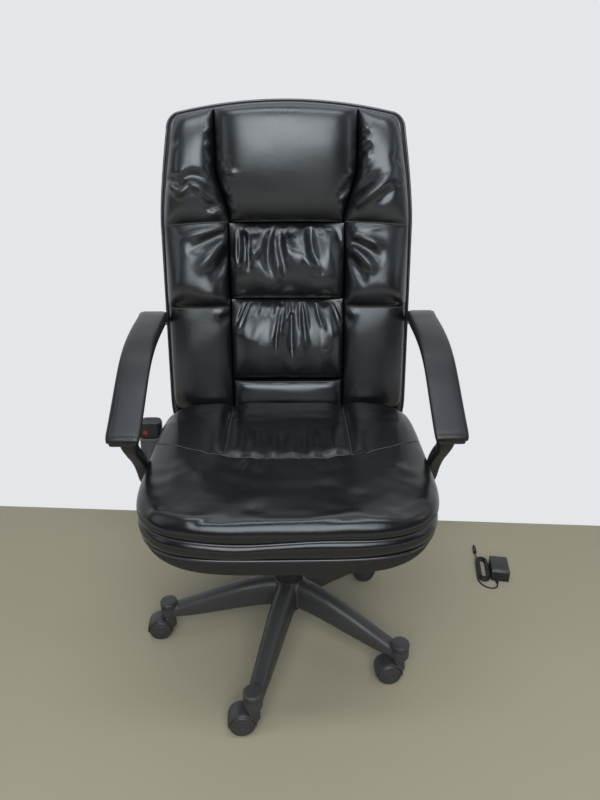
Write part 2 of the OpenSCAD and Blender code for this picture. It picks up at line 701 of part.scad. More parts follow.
// Side bolster: two cross seams part it into three sections
bolster_seams = [222, 402];
module bolster(side) {
    crown = 10;
    high = pillow_high_v;
    outer = function(s, t)
        let (v = mix(strip_low_v, high, (t + 1) / 2),
             inner = v > pillow_low_v
                ? mix(middle_half_w - 5, pillow_half_w, smooth((v - pillow_low_v) / 120)) + 2 * pad_gap
                : middle_half_w + pad_gap,
             out = back_half_at(v) - rim_w - pad_gap - 14 * pow(abs(t), 24),
             u = mix(inner, out, (1 + s) / 2), drop = top_arc * pow(u / back_half_w, 2))
        [u, t > 0 ? v - drop * t : v];
    rise = function(s, t)
        let (v = mix(strip_low_v, high, (t + 1) / 2),
             seam = max([for (b = bolster_seams) dip(v - b, 20)]))
        mix(edge_w, crown, fall(s, 3) * fall(t, 10)) - 9 * seam * fall(s, 4);
    color(black_leather)
    mirror([side > 0 ? 0 : 1, 0, 0]) on_back() grid_pad(8, 34, pad_floor_w, outer, rise);
}

// ---------------------------------------------------------------- arms

// Middle line of the arm's strap in its side view, as [y, z], from the back forward to the nose
strap_line = [[306, 652], [272, 668], [236, 679], [196, 684], [150, 682], [104, 677], [58, 668],
    [14, 652], [-26, 629], [-66, 602], [-104, 577], [-128, 562], [-139, 555]];
// Middle line of its leg, from inside the strap down to the foot
leg_line = [[-112, 566], [-108, 540], [-90, 516], [-66, 492], [-43, 463], [-25, 428], [-13, 392],
    [-6, 364], [-4, 349]];
arm_t = arm_frame_t + arm_pad_t;
arm_rear_x = back_half_w + soft_gap;
splay_end = 7;
leg_half_t = 12;
leg_x = seat_half_w + side_bulge + 2;
leg_gap = 2;
// Inner side of the leg at each height: it follows the seat border's outside
leg_in_at = [[seat_bottom_z, seat_half_w - border_draw_in + leg_gap + 5],
    [mix(seat_bottom_z, lower_welt_z, 0.2), seat_half_w - border_draw_in * 0.62 + leg_gap + 2.5],
    [mix(seat_bottom_z, lower_welt_z, 0.48), seat_half_w - border_draw_in * 0.3 + leg_gap + 1.5],
    [mix(seat_bottom_z, lower_welt_z, 0.76), seat_half_w - border_draw_in * 0.1 + leg_gap + 0.5],
    [lower_welt_z, seat_half_w + leg_gap], [lower_welt_z + roll_h * 0.4, leg_x]];
arm_foot_z = seat_bottom_z;
foot_t = 9;
foot_half = 24;
foot_y = -3;
foot_inner_x = 150;
foot_bolt_x = 172;
foot_bolt_y = [-16, 10];
back_bolts = [for (t = [0.45, 1.25]) spline(strap_line, t)];
back_bolt_d = 8;
back_bolt_drop = 6;
arm_steps = 3;

function strap_in_x(t) = mix(arm_rear_x, arm_inner_x, smooth((t - 2) / (splay_end - 2)));
function leg_in_x(t) = t < 3 ? mix(arm_inner_x + 3, leg_x, smooth(t / 2)) : follow(leg_in_at, spline(leg_line, t)[1]);
function leg_w(t) = mix(arm_w * 0.7, arm_leg_w, smooth(t / 2));

// Cross-section at place t on a side-view line, between two heights across the line and two x, with
// its edges rounded by r
function arm_ring(line, t, low, high, x_low, x_high, r) =
    let (p = spline(line, t), last = len(line) - 1,
         d = unit(spline(line, min(last, t + 0.02)) - spline(line, max(0, t - 0.02))), up = [0, d[1], -d[0]])
    [for (c = [[x_low, low + r], [x_low + r, low], [x_high - r, low], [x_high, low + r],
        [x_high, high - r], [x_high - r, high], [x_low + r, high], [x_low, high - r]])
        [c[0], p[0], p[1]] + c[1] * up];

function steps(a, b) = [for (k = [a * arm_steps:b * arm_steps]) k / arm_steps];
strap_last = len(strap_line) - 1;
leg_last = len(leg_line) - 1;
// How far the strap's underside has rounded up towards the nose
function nose(t) = pow(max(0, (t - strap_last + 1.7) / 1.7), 2);

module arm_frame(side) {
    color(black_nylon)
    mirror([side > 0 ? 0 : 1, 0, 0]) difference() {
        union() {
            loft([for (t = steps(0, strap_last)) let (x = strap_in_x(t), n = nose(t))
                arm_ring(strap_line, t, -arm_t / 2 + 5 * n, arm_t / 2 - arm_pad_t - soft_gap / 2,
                    x + 3 * n, x + arm_w - 3 * n, 3 - n)]);
            loft([for (t = steps(0, leg_last)) let (x = leg_in_x(t))
                arm_ring(leg_line, t, -leg_half_t, leg_half_t, x, x + leg_w(t), 4)]);
            translate([foot_inner_x, foot_y - foot_half, arm_foot_z - foot_t])
                cube([leg_in_at[0][1] + arm_leg_w - 3 - foot_inner_x, 2 * foot_half, foot_t]);
        }
        for (y = foot_bolt_y) translate([foot_bolt_x, y, arm_foot_z - foot_t - 1])
            cylinder(d = bolt_d + 2 * bolt_gap, h = foot_t + 2);
        for (b = back_bolts) translate([arm_rear_x - 1, b[0], b[1] - back_bolt_drop])
            rotate([0, 90, 0]) cylinder(d = back_bolt_d + 2 * bolt_gap, h = arm_w + 2);
    }
}

module arm_pad(side) {
    pad_first = 1.7;
    low = arm_t / 2 - arm_pad_t + soft_gap / 2;
    color(black_leather)
    mirror([side > 0 ? 0 : 1, 0, 0])
    loft([for (t = steps(pad_first, strap_last))
        let (x = strap_in_x(t), q = min(1, (t - pad_first) / 0.6 + 0.3, (strap_last - t) / 0.8 + 0.35),
             drop = (arm_pad_t - 5) * (1 - q), inset = 5 * (1 - q))
        arm_ring(strap_line, t, low, arm_t / 2 - drop, x + inset, x + arm_w - inset, min(4, (arm_pad_t - drop) / 3))]);
}

module arm_bolts() {
    color(steel)
    for (s = [0, 1]) mirror([s, 0, 0]) {
        for (y = foot_bolt_y) translate([foot_bolt_x, y, 0]) {
            translate([0, 0, arm_foot_z - foot_t - 4]) cylinder(r = 5.5, h = 4, $fn = 6);
            translate([0, 0, arm_foot_z - foot_t - eps]) cylinder(d = bolt_d, h = foot_t + 8.5);
        }
        for (b = back_bolts) translate([0, b[0], b[1] - back_bolt_drop]) rotate([0, 90, 0]) {
            translate([0, 0, back_half_w - 21]) cylinder(d = back_bolt_d, h = arm_rear_x + arm_w - back_half_w + 21);
            translate([0, 0, arm_rear_x + arm_w]) cylinder(r = 8, h = 3);
        }
    }
}

// ---------------------------------------------------------------- massage parts

motor_wall = 2;
shaft_d = 4;
motor_back_v = [140, 330];
motor_seat_x = [-110, 110];
motor_seat_y = -60;
weight_r = motor_r - motor_wall - 2.5;
weight_h = 8;

module motor_can() {
    difference() {
        cylinder(r = motor_r, h = motor_h);
        translate([0, 0, motor_wall]) cylinder(r = motor_r - motor_wall, h = motor_h - 2 * motor_wall);
        translate([0, 0, 0.8]) cylinder(d = shaft_d + 2 * run_gap, h = motor_h - 1.6);
    }
}

// Shaft with a half-disc weight that hangs towards -Y of its own frame
module rotor() {
    color([0.75, 0.6, 0.3]) {
        translate([0, 0, 1]) cylinder(d = shaft_d, h = motor_h - 2);
        translate([0, 0, (motor_h - weight_h) / 2]) difference() {
            cylinder(r = weight_r, h = weight_h);
            translate([-weight_r - 1, 2.5, -1]) cube([2 * weight_r + 2, weight_r + 1, weight_h + 2]);
        }
    }
}

module at_back_motor(k) { on_back() translate([0, motor_back_v[k], board_rear_w - motor_h]) children(); }
module at_seat_motor(k) { translate([motor_seat_x[k], motor_seat_y, seat_bottom_z + board_t]) children(); }

module motor_cans() {
    color([0.3, 0.3, 0.32]) for (k = [0, 1]) {
        at_back_motor(k) motor_can();
        at_seat_motor(k) motor_can();
    }
}

box_w = 92;
box_d = 52;
box_h = 26;
box_x = 0;
box_front_y = 110;
inlet_x = 26;
inlet_depth = 9;
inlet_z = seat_bottom_z - box_h / 2;

module control_box() {
    color([0.16, 0.16, 0.17])
    difference() {
        union() {
            translate([box_x - box_w / 2, box_front_y, seat_bottom_z - box_h]) cube([box_w, box_d, box_h]);
            translate([box_x + inlet_x, box_front_y + box_d, inlet_z]) rotate([-90, 0, 0]) cylinder(d = barrel_d + 4.5, h = 2);
        }
        translate([box_x + inlet_x, box_front_y + box_d + 2 - inlet_depth, inlet_z]) rotate([-90, 0, 0])
            cylinder(d = barrel_d + 0.2, h = inlet_depth + 1);
        for (k = [-2:2]) translate([box_x - 22 + 6 * k, box_front_y + box_d - 1, inlet_z - 7]) cube([2, 3, 14]);
    }
}

// Open pocket on the seat's side; its front panel is lower than the rest
pouch_wall = 2;
pouch_in_x = seat_half_w + side_bulge + soft_gap;
pouch_w = handset_w + 8;
pouch_front_y = 86;
pouch_room = 16;
pouch_d = handset_t + pouch_room;
pouch_bottom_z = seat_bottom_z + 22;
pouch_top_z = seat_top_z - 2;
pouch_front_drop = 40;
pouch_front_z = pouch_top_z - pouch_front_drop;

module handset_pouch() {
    color([0.2, 0.2, 0.21])
    translate([-pouch_in_x - pouch_w, pouch_front_y, pouch_bottom_z]) difference() {
        cube([pouch_w, pouch_d, pouch_top_z - pouch_bottom_z]);
        translate([pouch_wall, pouch_wall, pouch_wall])
            cube([pouch_w - 2 * pouch_wall, pouch_d - 2 * pouch_wall, pouch_top_z]);
        translate([-1, 0, 0]) rotate([90, 0, 90]) linear_extrude(pouch_w + 2) polygon([
            [-1, pouch_front_z - pouch_bottom_z], [pouch_wall + 0.5, pouch_front_z - pouch_bottom_z],
            [pouch_d - 4, pouch_top_z - pouch_bottom_z + 0.01], [-1, pouch_top_z - pouch_bottom_z + 1]]);
    }
}

handset_x = -pouch_in_x - pouch_w / 2;
handset_face_y = pouch_front_y + pouch_wall + button_stand + 2;
handset_low_z = pouch_bottom_z + pouch_wall;
button_x = -9;
button_rows = [for (k = [0:3]) handset_len - 20 - k * 20];
button_travel_gap = 0.4;
button_cut = 6;

// Places children on the handset's face at button k, pushing towards +Y
module at_button(k) {
    translate([handset_x + (k == 0 ? button_x : 0), handset_face_y, handset_low_z + button_rows[k]])
        rotate([-90, 0, 0]) children();
}

module handset_case() {
    r = 6;
    color([0.11, 0.11, 0.12])
    difference() {
        translate([handset_x, handset_face_y, handset_low_z]) union() {
            translate([-handset_w / 2 + r, 0, 0]) cube([handset_w - 2 * r, handset_t, handset_len]);
            translate([-handset_w / 2, r, 0]) cube([handset_w, handset_t - 2 * r, handset_len]);
            for (x = [-1, 1], y = [r, handset_t - r]) translate([x * (handset_w / 2 - r), y, 0]) cylinder(r = r, h = handset_len);
        }
        for (k = [0:3]) at_button(k) translate([0, 0, -1]) cylinder(d = button_d + 2 * button_travel_gap, h = button_cut + 1);
    }
}

module button(k, tint) {
    color(tint) at_button(k) translate([0, 0, -button_stand]) cylinder(d = button_d, h = button_stand + button_cut - 2);
}

// ---------------------------------------------------------------- power adapter

// The adapter, its lead and its plug are drawn in the adapter's own frame:
// its front face stands on y = 0 and its length runs along +Y
adapter_at = [540, 148];
adapter_turn = -10;
prong_len = 16;
relief_len = 12;
relief_x = -8;
relief_z = 4.2;
module at_adapter() { translate([adapter_at[0], adapter_at[1], 0]) rotate(adapter_turn) children(); }

module adapter_case() {
    color([0.1, 0.1, 0.11])
    at_adapter() difference() {
        union() {
            rotate([90, 0, 90]) translate([0, 0, -adapter_w / 2]) linear_extrude(adapter_w) polygon([
                [0, 0], [adapter_len, 0], [adapter_len, adapter_h - 3], [adapter_len - 3, adapter_h],
                [5, adapter_h], [0, adapter_h - 6]]);
            translate([relief_x, eps, relief_z]) rotate([90, 0, 0]) cylinder(d = lead_d + 3, h = relief_len);
        }
        for (s = [-1, 1], y = [-1]) translate([s * (adapter_w / 2 - 3), y, adapter_h - 3]) rotate([-90, 0, 0])
            difference() {
                translate([s > 0 ? 0 : -4, -4, 0]) cube([4, 4, adapter_len + 2]);
                cylinder(r = 3, h = adapter_len + 2);
            }
    }
}

module adapter_prongs() {
    color([0.8, 0.78, 0.7])
    at_adapter() for (s = [-1, 1]) translate([s * 6.35 - 0.75, adapter_len, adapter_h / 2 - 3.2])
        cube([1.5, prong_len, 6.4]);
}

// The lead leaves the strain relief, lies in one loose bow on the floor and runs into a hank
lead_z = lead_d / 2 + 0.1;
lead_bow = [[-8, -12, 4.2], [-8.2, -19, 3], [-12, -27, 1.9], [-22, -32, 1.9], [-35, -30, 1.9],
    [-46, -22, 1.9], [-53, -10, 1.9], [-55, 0, 1.9], [-55, 5, 1.9]];
lead_tail = [[-51.6, 65, 14.2], [-51.8, 72, 13.4], [-52, 81, 9.8], [-52.3, 90, 6], [-52.5, 98, 5],
    [-52.5, 104, 5]];
hank_at = [-39.6, 35];
hank_run = 60;
hank_turn_r = 7.2;
hank_pitch = 4.1;
hank_loops = 7 + 1 / 6;
hank_loops_a_layer = 2;
steps_a_run = 4;
steps_a_turn = 8;
steps_a_loop = 2 * (steps_a_run + steps_a_turn);

// Point k steps round a loop of end radius r: up one run, round, down the other run and round
function hank_point(k, r) =
    k < steps_a_run ? [-r, hank_run * (k / steps_a_run - 0.5)]
    : k < steps_a_run + steps_a_turn
        ? let (a = 180 * (1 - (k - steps_a_run) / steps_a_turn)) [r * cos(a), hank_run / 2 + r * sin(a)]
    : k < 2 * steps_a_run + steps_a_turn
        ? [r, hank_run * (0.5 - (k - steps_a_run - steps_a_turn) / steps_a_run)]
    : let (a = -180 * (k - 2 * steps_a_run - steps_a_turn) / steps_a_turn) [r * cos(a), -hank_run / 2 + r * sin(a)];

// How far out the loops lie after n of them, in pitches, and how many layers up
function hank_out(n) = let (w = n % (2 * hank_loops_a_layer))
    w < hank_loops_a_layer ? hank_loops_a_layer - w : w - hank_loops_a_layer;
function hank_up(n) = let (k = round(n / hank_loops_a_layer), d = n - k * hank_loops_a_layer)
    k < 1 ? 0 : k - 1 + smooth((d + 0.25) / 0.5);

hank_path = [for (k = [0:round(hank_loops * steps_a_loop)])
    let (n = k / steps_a_loop, p = hank_point(k % steps_a_loop, hank_turn_r + hank_pitch * hank_out(n)))
    [hank_at[0] + p[0], hank_at[1] + p[1], lead_z + hank_pitch * hank_up(n)]];

function path_length(p, i = 1) = i >= len(p) ? 0 : norm(p[i] - p[i - 1]) + path_length(p, i + 1);
function smooth_path(p, n) = [for (k = [0:n * (len(p) - 1)]) spline(p, k / n)];
function least_gap(p, apart) = min([for (i = [0:len(p) - 1 - apart], j = [i + apart:len(p) - 1]) norm(p[i] - p[j])]);
echo(hank_least_gap = least_gap(hank_path, steps_a_loop / 2) - lead_d);
echo(lead_length = path_length(smooth_path(lead_bow, 4)) + path_length(hank_path) + path_length(smooth_path(lead_tail, 4)));

module adapter_lead() {
    color([0.12, 0.12, 0.12])
    at_adapter() for (p = [lead_bow, lead_tail]) loft(tube_rings(smooth_path(p, 1), lead_d / 2, 8));
}

module adapter_lead_hank() {
    color([0.12, 0.12, 0.12])
    at_adapter() loft(tube_rings(hank_path, lead_d / 2, 6));
}

plug_grip_r = 4.6;
plug_grip_len = 22;
barrel_len = 9.5;
plug_at = lead_tail[len(lead_tail) - 1];

module barrel_plug() {
    color([0.1, 0.1, 0.1])
    at_adapter() translate(plug_at) rotate([-90, 0, 0]) {
        cylinder(r = plug_grip_r, h = plug_grip_len);
        translate([0, 0, plug_grip_len - eps]) cylinder(d = barrel_d, h = barrel_len + eps);
    }
}

// ---------------------------------------------------------------- the chair

star_base();
column_tube();
cover_lower();
caster_hood(0);  // caster_1_hood
caster_stem(0);  // caster_1_stem
caster_wheels(0);  // caster_1_wheels
caster_hood(1);  // caster_2_hood
caster_stem(1);  // caster_2_stem
caster_wheels(1);  // caster_2_wheels
caster_hood(2);  // caster_3_hood
caster_stem(2);  // caster_3_stem
caster_wheels(2);  // caster_3_wheels
caster_hood(3);  // caster_4_hood
caster_stem(3);  // caster_4_stem
caster_wheels(3);  // caster_4_wheels
caster_hood(4);  // caster_5_hood
caster_stem(4);  // caster_5_stem
caster_wheels(4);  // caster_5_wheels
gas_piston();
cover_mid();
mech_housing();
tilt_spring();
cover_upper();
tension_knob();
height_lever();
mech_top_plate();
seat_board();
seat_border();
seat_lower_roll();
seat_cushion();
back_board();
back_shell();
head_pillow();
lumbar_pad_upper();
lumbar_pad_lower();
lumbar_strip();
bolster(-1);  // bolster_left
bolster(1);  // bolster_right
arm_frame(-1);  // arm_left
arm_frame(1);  // arm_right
arm_pad(-1);  // arm_pad_left
arm_pad(1);  // arm_pad_right
arm_bolts();
motor_cans();
at_back_motor(1) rotor();  // rotor_back_upper
at_back_motor(0) rotor();  // rotor_back_lower
at_seat_motor(0) rotor();  // rotor_seat_left
at_seat_motor(1) rotor();  // rotor_seat_right
control_box();
handset_pouch();
handset_case();
button(0, [0.7, 0.1, 0.12]);  // button_power
button(1, [0.5, 0.5, 0.52]);  // button_upper
button(2, [0.5, 0.5, 0.52]);  // button_lower
button(3, [0.5, 0.5, 0.52]);  // button_seat
adapter_case();
adapter_prongs();
adapter_lead();
adapter_lead_hank();
barrel_plug();
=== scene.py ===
"""High-back massage chair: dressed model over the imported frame. Sizes in millimetres, meshes in metres."""
import bpy
import json
import math
import numpy as np
from mathutils import Matrix, Vector
from mathutils.bvhtree import BVHTree


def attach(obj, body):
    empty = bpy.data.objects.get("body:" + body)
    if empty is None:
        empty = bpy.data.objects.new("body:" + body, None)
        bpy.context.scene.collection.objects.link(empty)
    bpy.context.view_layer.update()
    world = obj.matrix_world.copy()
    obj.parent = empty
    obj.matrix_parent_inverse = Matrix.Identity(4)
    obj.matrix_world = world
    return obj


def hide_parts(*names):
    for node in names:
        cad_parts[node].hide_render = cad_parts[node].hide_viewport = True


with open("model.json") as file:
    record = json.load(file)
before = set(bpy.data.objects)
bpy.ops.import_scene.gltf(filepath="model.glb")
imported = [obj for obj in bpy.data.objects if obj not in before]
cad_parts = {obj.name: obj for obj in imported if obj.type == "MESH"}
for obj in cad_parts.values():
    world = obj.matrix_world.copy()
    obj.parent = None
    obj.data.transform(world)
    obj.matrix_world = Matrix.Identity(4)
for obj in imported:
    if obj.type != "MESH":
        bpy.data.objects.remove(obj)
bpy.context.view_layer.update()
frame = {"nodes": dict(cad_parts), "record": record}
scene = bpy.context.scene
MM = 0.001
PI = math.pi


# ---------------- camera

def place(name, data):
    """A new object in the scene."""
    obj = bpy.data.objects.new(name, data)
    scene.collection.objects.link(obj)
    return obj


CAMERA_AT, LENS, LOOK_DOWN, LOOK_RIGHT = (0.004, -1.107, 1.066), 27.77, 23.77, 1.02

cam_data = bpy.data.cameras.new("camera")
cam_data.sensor_width, cam_data.lens, cam_data.clip_end = 36, LENS, 50
camera = place("camera", cam_data)
camera.location = CAMERA_AT
camera.rotation_euler = (math.radians(90 - LOOK_DOWN), 0, math.radians(-LOOK_RIGHT))
scene.camera = camera
scene.view_settings.view_transform = "Standard"


# ---------------- helpers

def mesh_of(name, part):
    """A mesh from points in millimetres."""
    mesh = bpy.data.meshes.new(name)
    mesh.from_pydata((np.asarray(part[0], float) * MM).tolist(), [], part[1])
    return mesh


def dress(obj, body, slot, *nodes):
    """Says which body a piece rides on and the CAD nodes that it stands for; slot, its finish, is not used.
    """
    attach(obj, body)
    if nodes:
        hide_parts(*nodes)


def make(name, part, body, slot, *nodes, material=None, fill=None):
    """A smooth piece from (points in millimetres, faces); fill is not used."""
    mesh = mesh_of(name, part)
    mesh.polygons.foreach_set("use_smooth", [True] * len(mesh.polygons))
    mesh.update()
    mesh.materials.append(material or FINISH[slot])
    obj = place(name, mesh)
    dress(obj, body, slot, *nodes)
    return obj


def smooth(t):
    t = np.clip(t, 0, 1)
    return t * t * (3 - 2 * t)


def mix(a, b, t):
    return a + (b - a) * t


def bell(distance, width):
    return np.exp(-(distance / width) ** 2)


def spline(points, t):
    """Place at t, counted in points, on a Catmull-Rom line through the points."""
    p = np.asarray(points, float)
    n = len(p)
    k = min(n - 2, int(math.floor(t)))
    f = t - k
    p0, p1, p2, p3 = p[max(0, k - 1)], p[k], p[k + 1], p[min(n - 1, k + 2)]
    return 0.5 * (2 * p1 + (p2 - p0) * f + (2 * p0 - 5 * p1 + 4 * p2 - p3) * f * f
                  + (3 * p1 - p0 - 3 * p2 + p3) * f ** 3)


def line_points(points, per_span):
    n = (len(points) - 1) * per_span
    return np.array([spline(points, k / per_span) for k in range(n + 1)])


def unit(v):
    return v / np.linalg.norm(v)


def heading(points, t):
    """Direction of such a line at t."""
    return unit(spline(points, min(len(points) - 1, t + 0.02)) - spline(points, max(0, t - 0.02)))


def follow(pairs, x):
    xs, ys = zip(*pairs)
    return np.interp(x, xs, ys)


def squared(angle, share):
    """Point at an angle of a circle that is pushed out towards its square; share 1 leaves it round."""
    c, s = np.cos(angle), np.sin(angle)
    return np.sign(c) * np.abs(c) ** share, np.sign(s) * np.abs(s) ** share


def ripple(u, v, seed, count, wave, height):
    """Shallow waves in seeded directions."""
    r = np.random.default_rng(seed)
    total = np.zeros_like(u)
    for _ in range(count):
        a, ph, k = r.uniform(0, PI), r.uniform(0, 2 * PI), 2 * PI / (wave * r.uniform(0.7, 1.5))
        total += np.sin(k * (u * math.cos(a) + v * math.sin(a)) + ph)
    return height * total / math.sqrt(count)


FOLD_END, FOLD_FADE = 1.08, 0.6


def stroke_field(u, v, strokes, wider=1.0):
    """Heights of folds: each is (height, half width, u, v, u, v...), fading out along its length."""
    total = np.zeros_like(u)
    for height, width, *pts in strokes:
        pts = np.reshape(pts, (-1, 2))
        p = line_points(pts, 4) if len(pts) > 2 else np.linspace(pts[0], pts[-1], 6)
        seg = np.diff(p, axis=0)
        length = np.linalg.norm(seg, axis=1)
        start = np.concatenate([[0], np.cumsum(length)])
        best = np.full(u.shape, 1e9)
        along = np.zeros_like(u)
        for k in range(len(seg)):
            t = np.clip(((u - p[k, 0]) * seg[k, 0] + (v - p[k, 1]) * seg[k, 1]) / length[k] ** 2, 0, 1)
            d = np.hypot(u - p[k, 0] - t * seg[k, 0], v - p[k, 1] - t * seg[k, 1])
            near = d < best
            best = np.where(near, d, best)
            along = np.where(near, (start[k] + t * length[k]) / start[-1], along)
        total += height * bell(best, width * wider) * smooth((FOLD_END - along) / FOLD_FADE)
    return total


def ring_faces(rings, count, closed=False):
    """Quads between rings of count points each, with end caps, or closed from the last to the first."""
    faces = []
    for j in range(rings if closed else rings - 1):
        a, b = j * count, (j + 1) % rings * count
        faces += [(a + i, a + (i + 1) % count, b + (i + 1) % count, b + i) for i in range(count)]
    if not closed:
        faces += [tuple(reversed(range(count))), tuple(range((rings - 1) * count, rings * count))]
    return faces


def loft(rings):
    r = np.asarray(rings, float)
    return r.reshape(-1, 3), ring_faces(len(r), r.shape[1])


def turn_about(v, axis, angle):
    c, s = math.cos(angle), math.sin(angle)
    return v * c + np.cross(axis, v) * s + axis * (axis @ v) * (1 - c)


def tube(points, radius, sides=8, closed=False):
    """A round tube along points; radius may be one value or one per point."""
    p = np.asarray(points, float)
    n = len(p)
    rad = np.broadcast_to(radius, (n,))
    d = np.roll(p, -1, 0) - np.roll(p, 1, 0) if closed else np.gradient(p, axis=0)
    d /= np.linalg.norm(d, axis=1)[:, None]
    side = np.cross(d[0], (0, 0, 1.0) if abs(d[0][2]) < 0.9 else (1.0, 0, 0))
    frames = []
    for k in range(n + 1):
        side = unit(side - d[k % n] * (side @ d[k % n]))
        frames.append(side)
    last = frames.pop()
    back = math.atan2(np.cross(last, frames[0]) @ d[0], last @ frames[0]) if closed else 0.0
    frames = np.array([turn_about(f, d[k], back * k / n) for k, f in enumerate(frames)])
    up = np.cross(frames, d)
    a = np.arange(sides)[None, :, None] * 2 * PI / sides
    rings = p[:, None] + rad[:, None, None] * (np.cos(a) * frames[:, None] - np.sin(a) * up[:, None])
    return rings.reshape(-1, 3), ring_faces(n, sides, closed)


def lathe(profile, centre=(0, 0, 0), axis="z", steps=48, closed=False):
    """A solid of revolution from (radius, height) pairs, whose ends close on the axis or on each other."""
    a = np.arange(steps) * 2 * PI / steps
    rings = []
    for r, h in profile:
        x, y, z = r * np.cos(a), r * np.sin(a), np.full(steps, float(h))
        rings.append(np.stack({"x": (z, x, y), "y": (x, -z, y), "z": (x, y, z)}[axis], 1))
    return np.concatenate(rings) + np.asarray(centre, float), ring_faces(len(profile), steps, closed)


def rod(r, low, high, centre=(0, 0, 0), axis="z", steps=24):
    return lathe([(0, low), (r, low), (r, high), (0, high)], centre, axis, steps)


def join(parts):
    verts, faces, n = [], [], 0
    for v, f in parts:
        verts.append(np.asarray(v, float))
        faces += [tuple(i + n for i in face) for face in f]
        n += len(v)
    return np.concatenate(verts), faces


def apply_modifiers(obj):
    old = obj.data
    mesh = bpy.data.meshes.new_from_object(obj.evaluated_get(bpy.context.evaluated_depsgraph_get()))
    obj.modifiers.clear()
    obj.data = mesh
    bpy.data.meshes.remove(old)
    mesh.polygons.foreach_set("use_smooth", [True] * len(mesh.polygons))


def fuse(obj, voxel, rounds, holes):
    """Melts a piece's overlapping solids into one moulded skin, rounds it, then cuts its holes."""
    m = obj.modifiers.new("fuse", "REMESH")
    m.mode, m.voxel_size, m.use_smooth_shade = "VOXEL", voxel * MM, True
    s = obj.modifiers.new("round", "SMOOTH")
    s.factor, s.iterations = 0.5, rounds
    apply_modifiers(obj)
    tool = place("cut", mesh_of("cut", join(holes)))
    b = obj.modifiers.new("cut", "BOOLEAN")
    b.operation, b.object, b.solver = "DIFFERENCE", tool, "EXACT"
    apply_modifiers(obj)
    bpy.data.objects.remove(tool)
    return obj


# ---------------- materials

def add(tree, kind, *values, operation=None, **named):
    """A shader node whose sockets take numbers or other nodes' outputs."""
    n = tree.nodes.new("ShaderNode" + kind)
    if operation:
        n.operation = operation
    for key, value in [*enumerate(values), *named.items()]:
        if isinstance(value, bpy.types.NodeSocket):
            tree.links.new(value, n.inputs[key])
        else:
            n.inputs[key].default_value = value
    return n


class Shader:
    """A Principled material with short names for the nodes used here."""

    def __init__(self, name, color, rough, metallic=0.0, **sockets):
        self.mat = bpy.data.materials.new(name)
        self.mat.use_nodes = True
        self.tree = self.mat.node_tree
        self.bsdf = self.tree.nodes["Principled BSDF"]
        sockets.update(Base_Color=(*color, 1), Roughness=rough, Metallic=metallic)
        for key, value in sockets.items():
            self.bsdf.inputs[key.replace("_", " ")].default_value = value
        self.coord = self.node("TexCoord").outputs["Object"]
        self.relief = {}

    def node(self, kind, *values, **named):
        return add(self.tree, kind, *values, **named)

    def drive(self, socket, output):
        self.tree.links.new(output, self.bsdf.inputs[socket])

    def stretched(self, scale):
        return self.node("Mapping", Vector=self.coord, Scale=scale).outputs["Vector"]

    def noise(self, scale, detail=2.0, rough=0.5, vector=None, distortion=0.0):
        return self.node("TexNoise", Vector=vector or self.coord, Scale=scale, Detail=detail,
                         Roughness=rough, Distortion=distortion).outputs["Fac"]

    def cells(self, scale, vector=None):
        return self.node("TexVoronoi", Vector=vector or self.coord, Scale=scale).outputs["Distance"]

    def spread(self, value, low, high, out_low, out_high):
        return self.node("MapRange", value, low, high, out_low, out_high).outputs[0]

    def color_from(self, value, low, high):
        m = self.tree.nodes.new("ShaderNodeMix")
        m.data_type = "RGBA"
        self.tree.links.new(value, m.inputs["Factor"])
        m.inputs["A"].default_value = (*low, 1)
        m.inputs["B"].default_value = (*high, 1)
        self.drive("Base Color", m.outputs["Result"])

    def rough_from(self, value, low, high, less=None):
        rough = self.spread(value, 0.3, 0.7, low, high)
        if less:
            rough = self.node("Math", rough, less, operation="SUBTRACT").outputs[0]
        self.drive("Roughness", rough)

    def bump(self, value, strength, depth):
        """One more layer of relief, depth millimetres deep, over those before it."""
        b = self.node("Bump", Height=value, Strength=strength, Distance=depth * MM, **self.relief)
        self.relief = {"Normal": b.outputs["Normal"]}
        self.drive("Normal", b.outputs["Normal"])


POLISH_FRONT, POLISH_REAR = -0.27, -0.19


def leather(name, low, high, rough, grain, coat=0.0, shine=1.0, polish=0.0):
    """Grained leather, where a polish makes the seat's front edge smoother, as legs rub it."""
    s = Shader(name, low, rough[0], Coat_Weight=coat, Coat_Roughness=0.28, Specular_IOR_Level=shine,
               Specular_Tint=(0.92, 0.97, 1.0, 1))
    s.color_from(s.noise(9, 4), low, high)
    y = s.node("SeparateXYZ", s.coord).outputs["Y"] if polish else None
    s.rough_from(s.noise(14, 3), *rough, y and s.spread(y, POLISH_FRONT, POLISH_REAR, polish, 0))
    s.bump(s.noise(55, 3, 0.55, distortion=0.6), 0.16, 1.2)
    s.bump(s.cells(950), grain, 0.16)
    s.bump(s.noise(2600, 1), 0.12, 0.06)
    return s.mat


def plastic(name, low, high, rough, grain=0.25, scale=1500):
    s = Shader(name, low, rough)
    s.color_from(s.noise(12, 4), low, high)
    s.rough_from(s.noise(30, 3), rough - 0.05, rough + 0.07)
    s.bump(s.noise(scale, 2), grain, 0.05)
    return s.mat


def weave(name, low, high, rough, threads=(700, 700, 700)):
    s = Shader(name, low, rough)
    s.color_from(s.noise(60, 3), low, high)
    s.bump(s.cells(1.0, s.stretched(threads)), 0.5, 0.3)
    s.bump(s.noise(90, 3), 0.2, 0.5)
    return s.mat


def metal(name, color, rough, brushed):
    s = Shader(name, color, rough, 1.0)
    s.rough_from(s.noise(40, 3), max(0.05, rough - 0.06), rough + 0.08)
    s.bump(s.noise(1.0, 2, vector=s.stretched((300, 300, 6000))), brushed, 0.02)
    s.bump(s.noise(400, 2), 0.05, 0.05)
    return s.mat


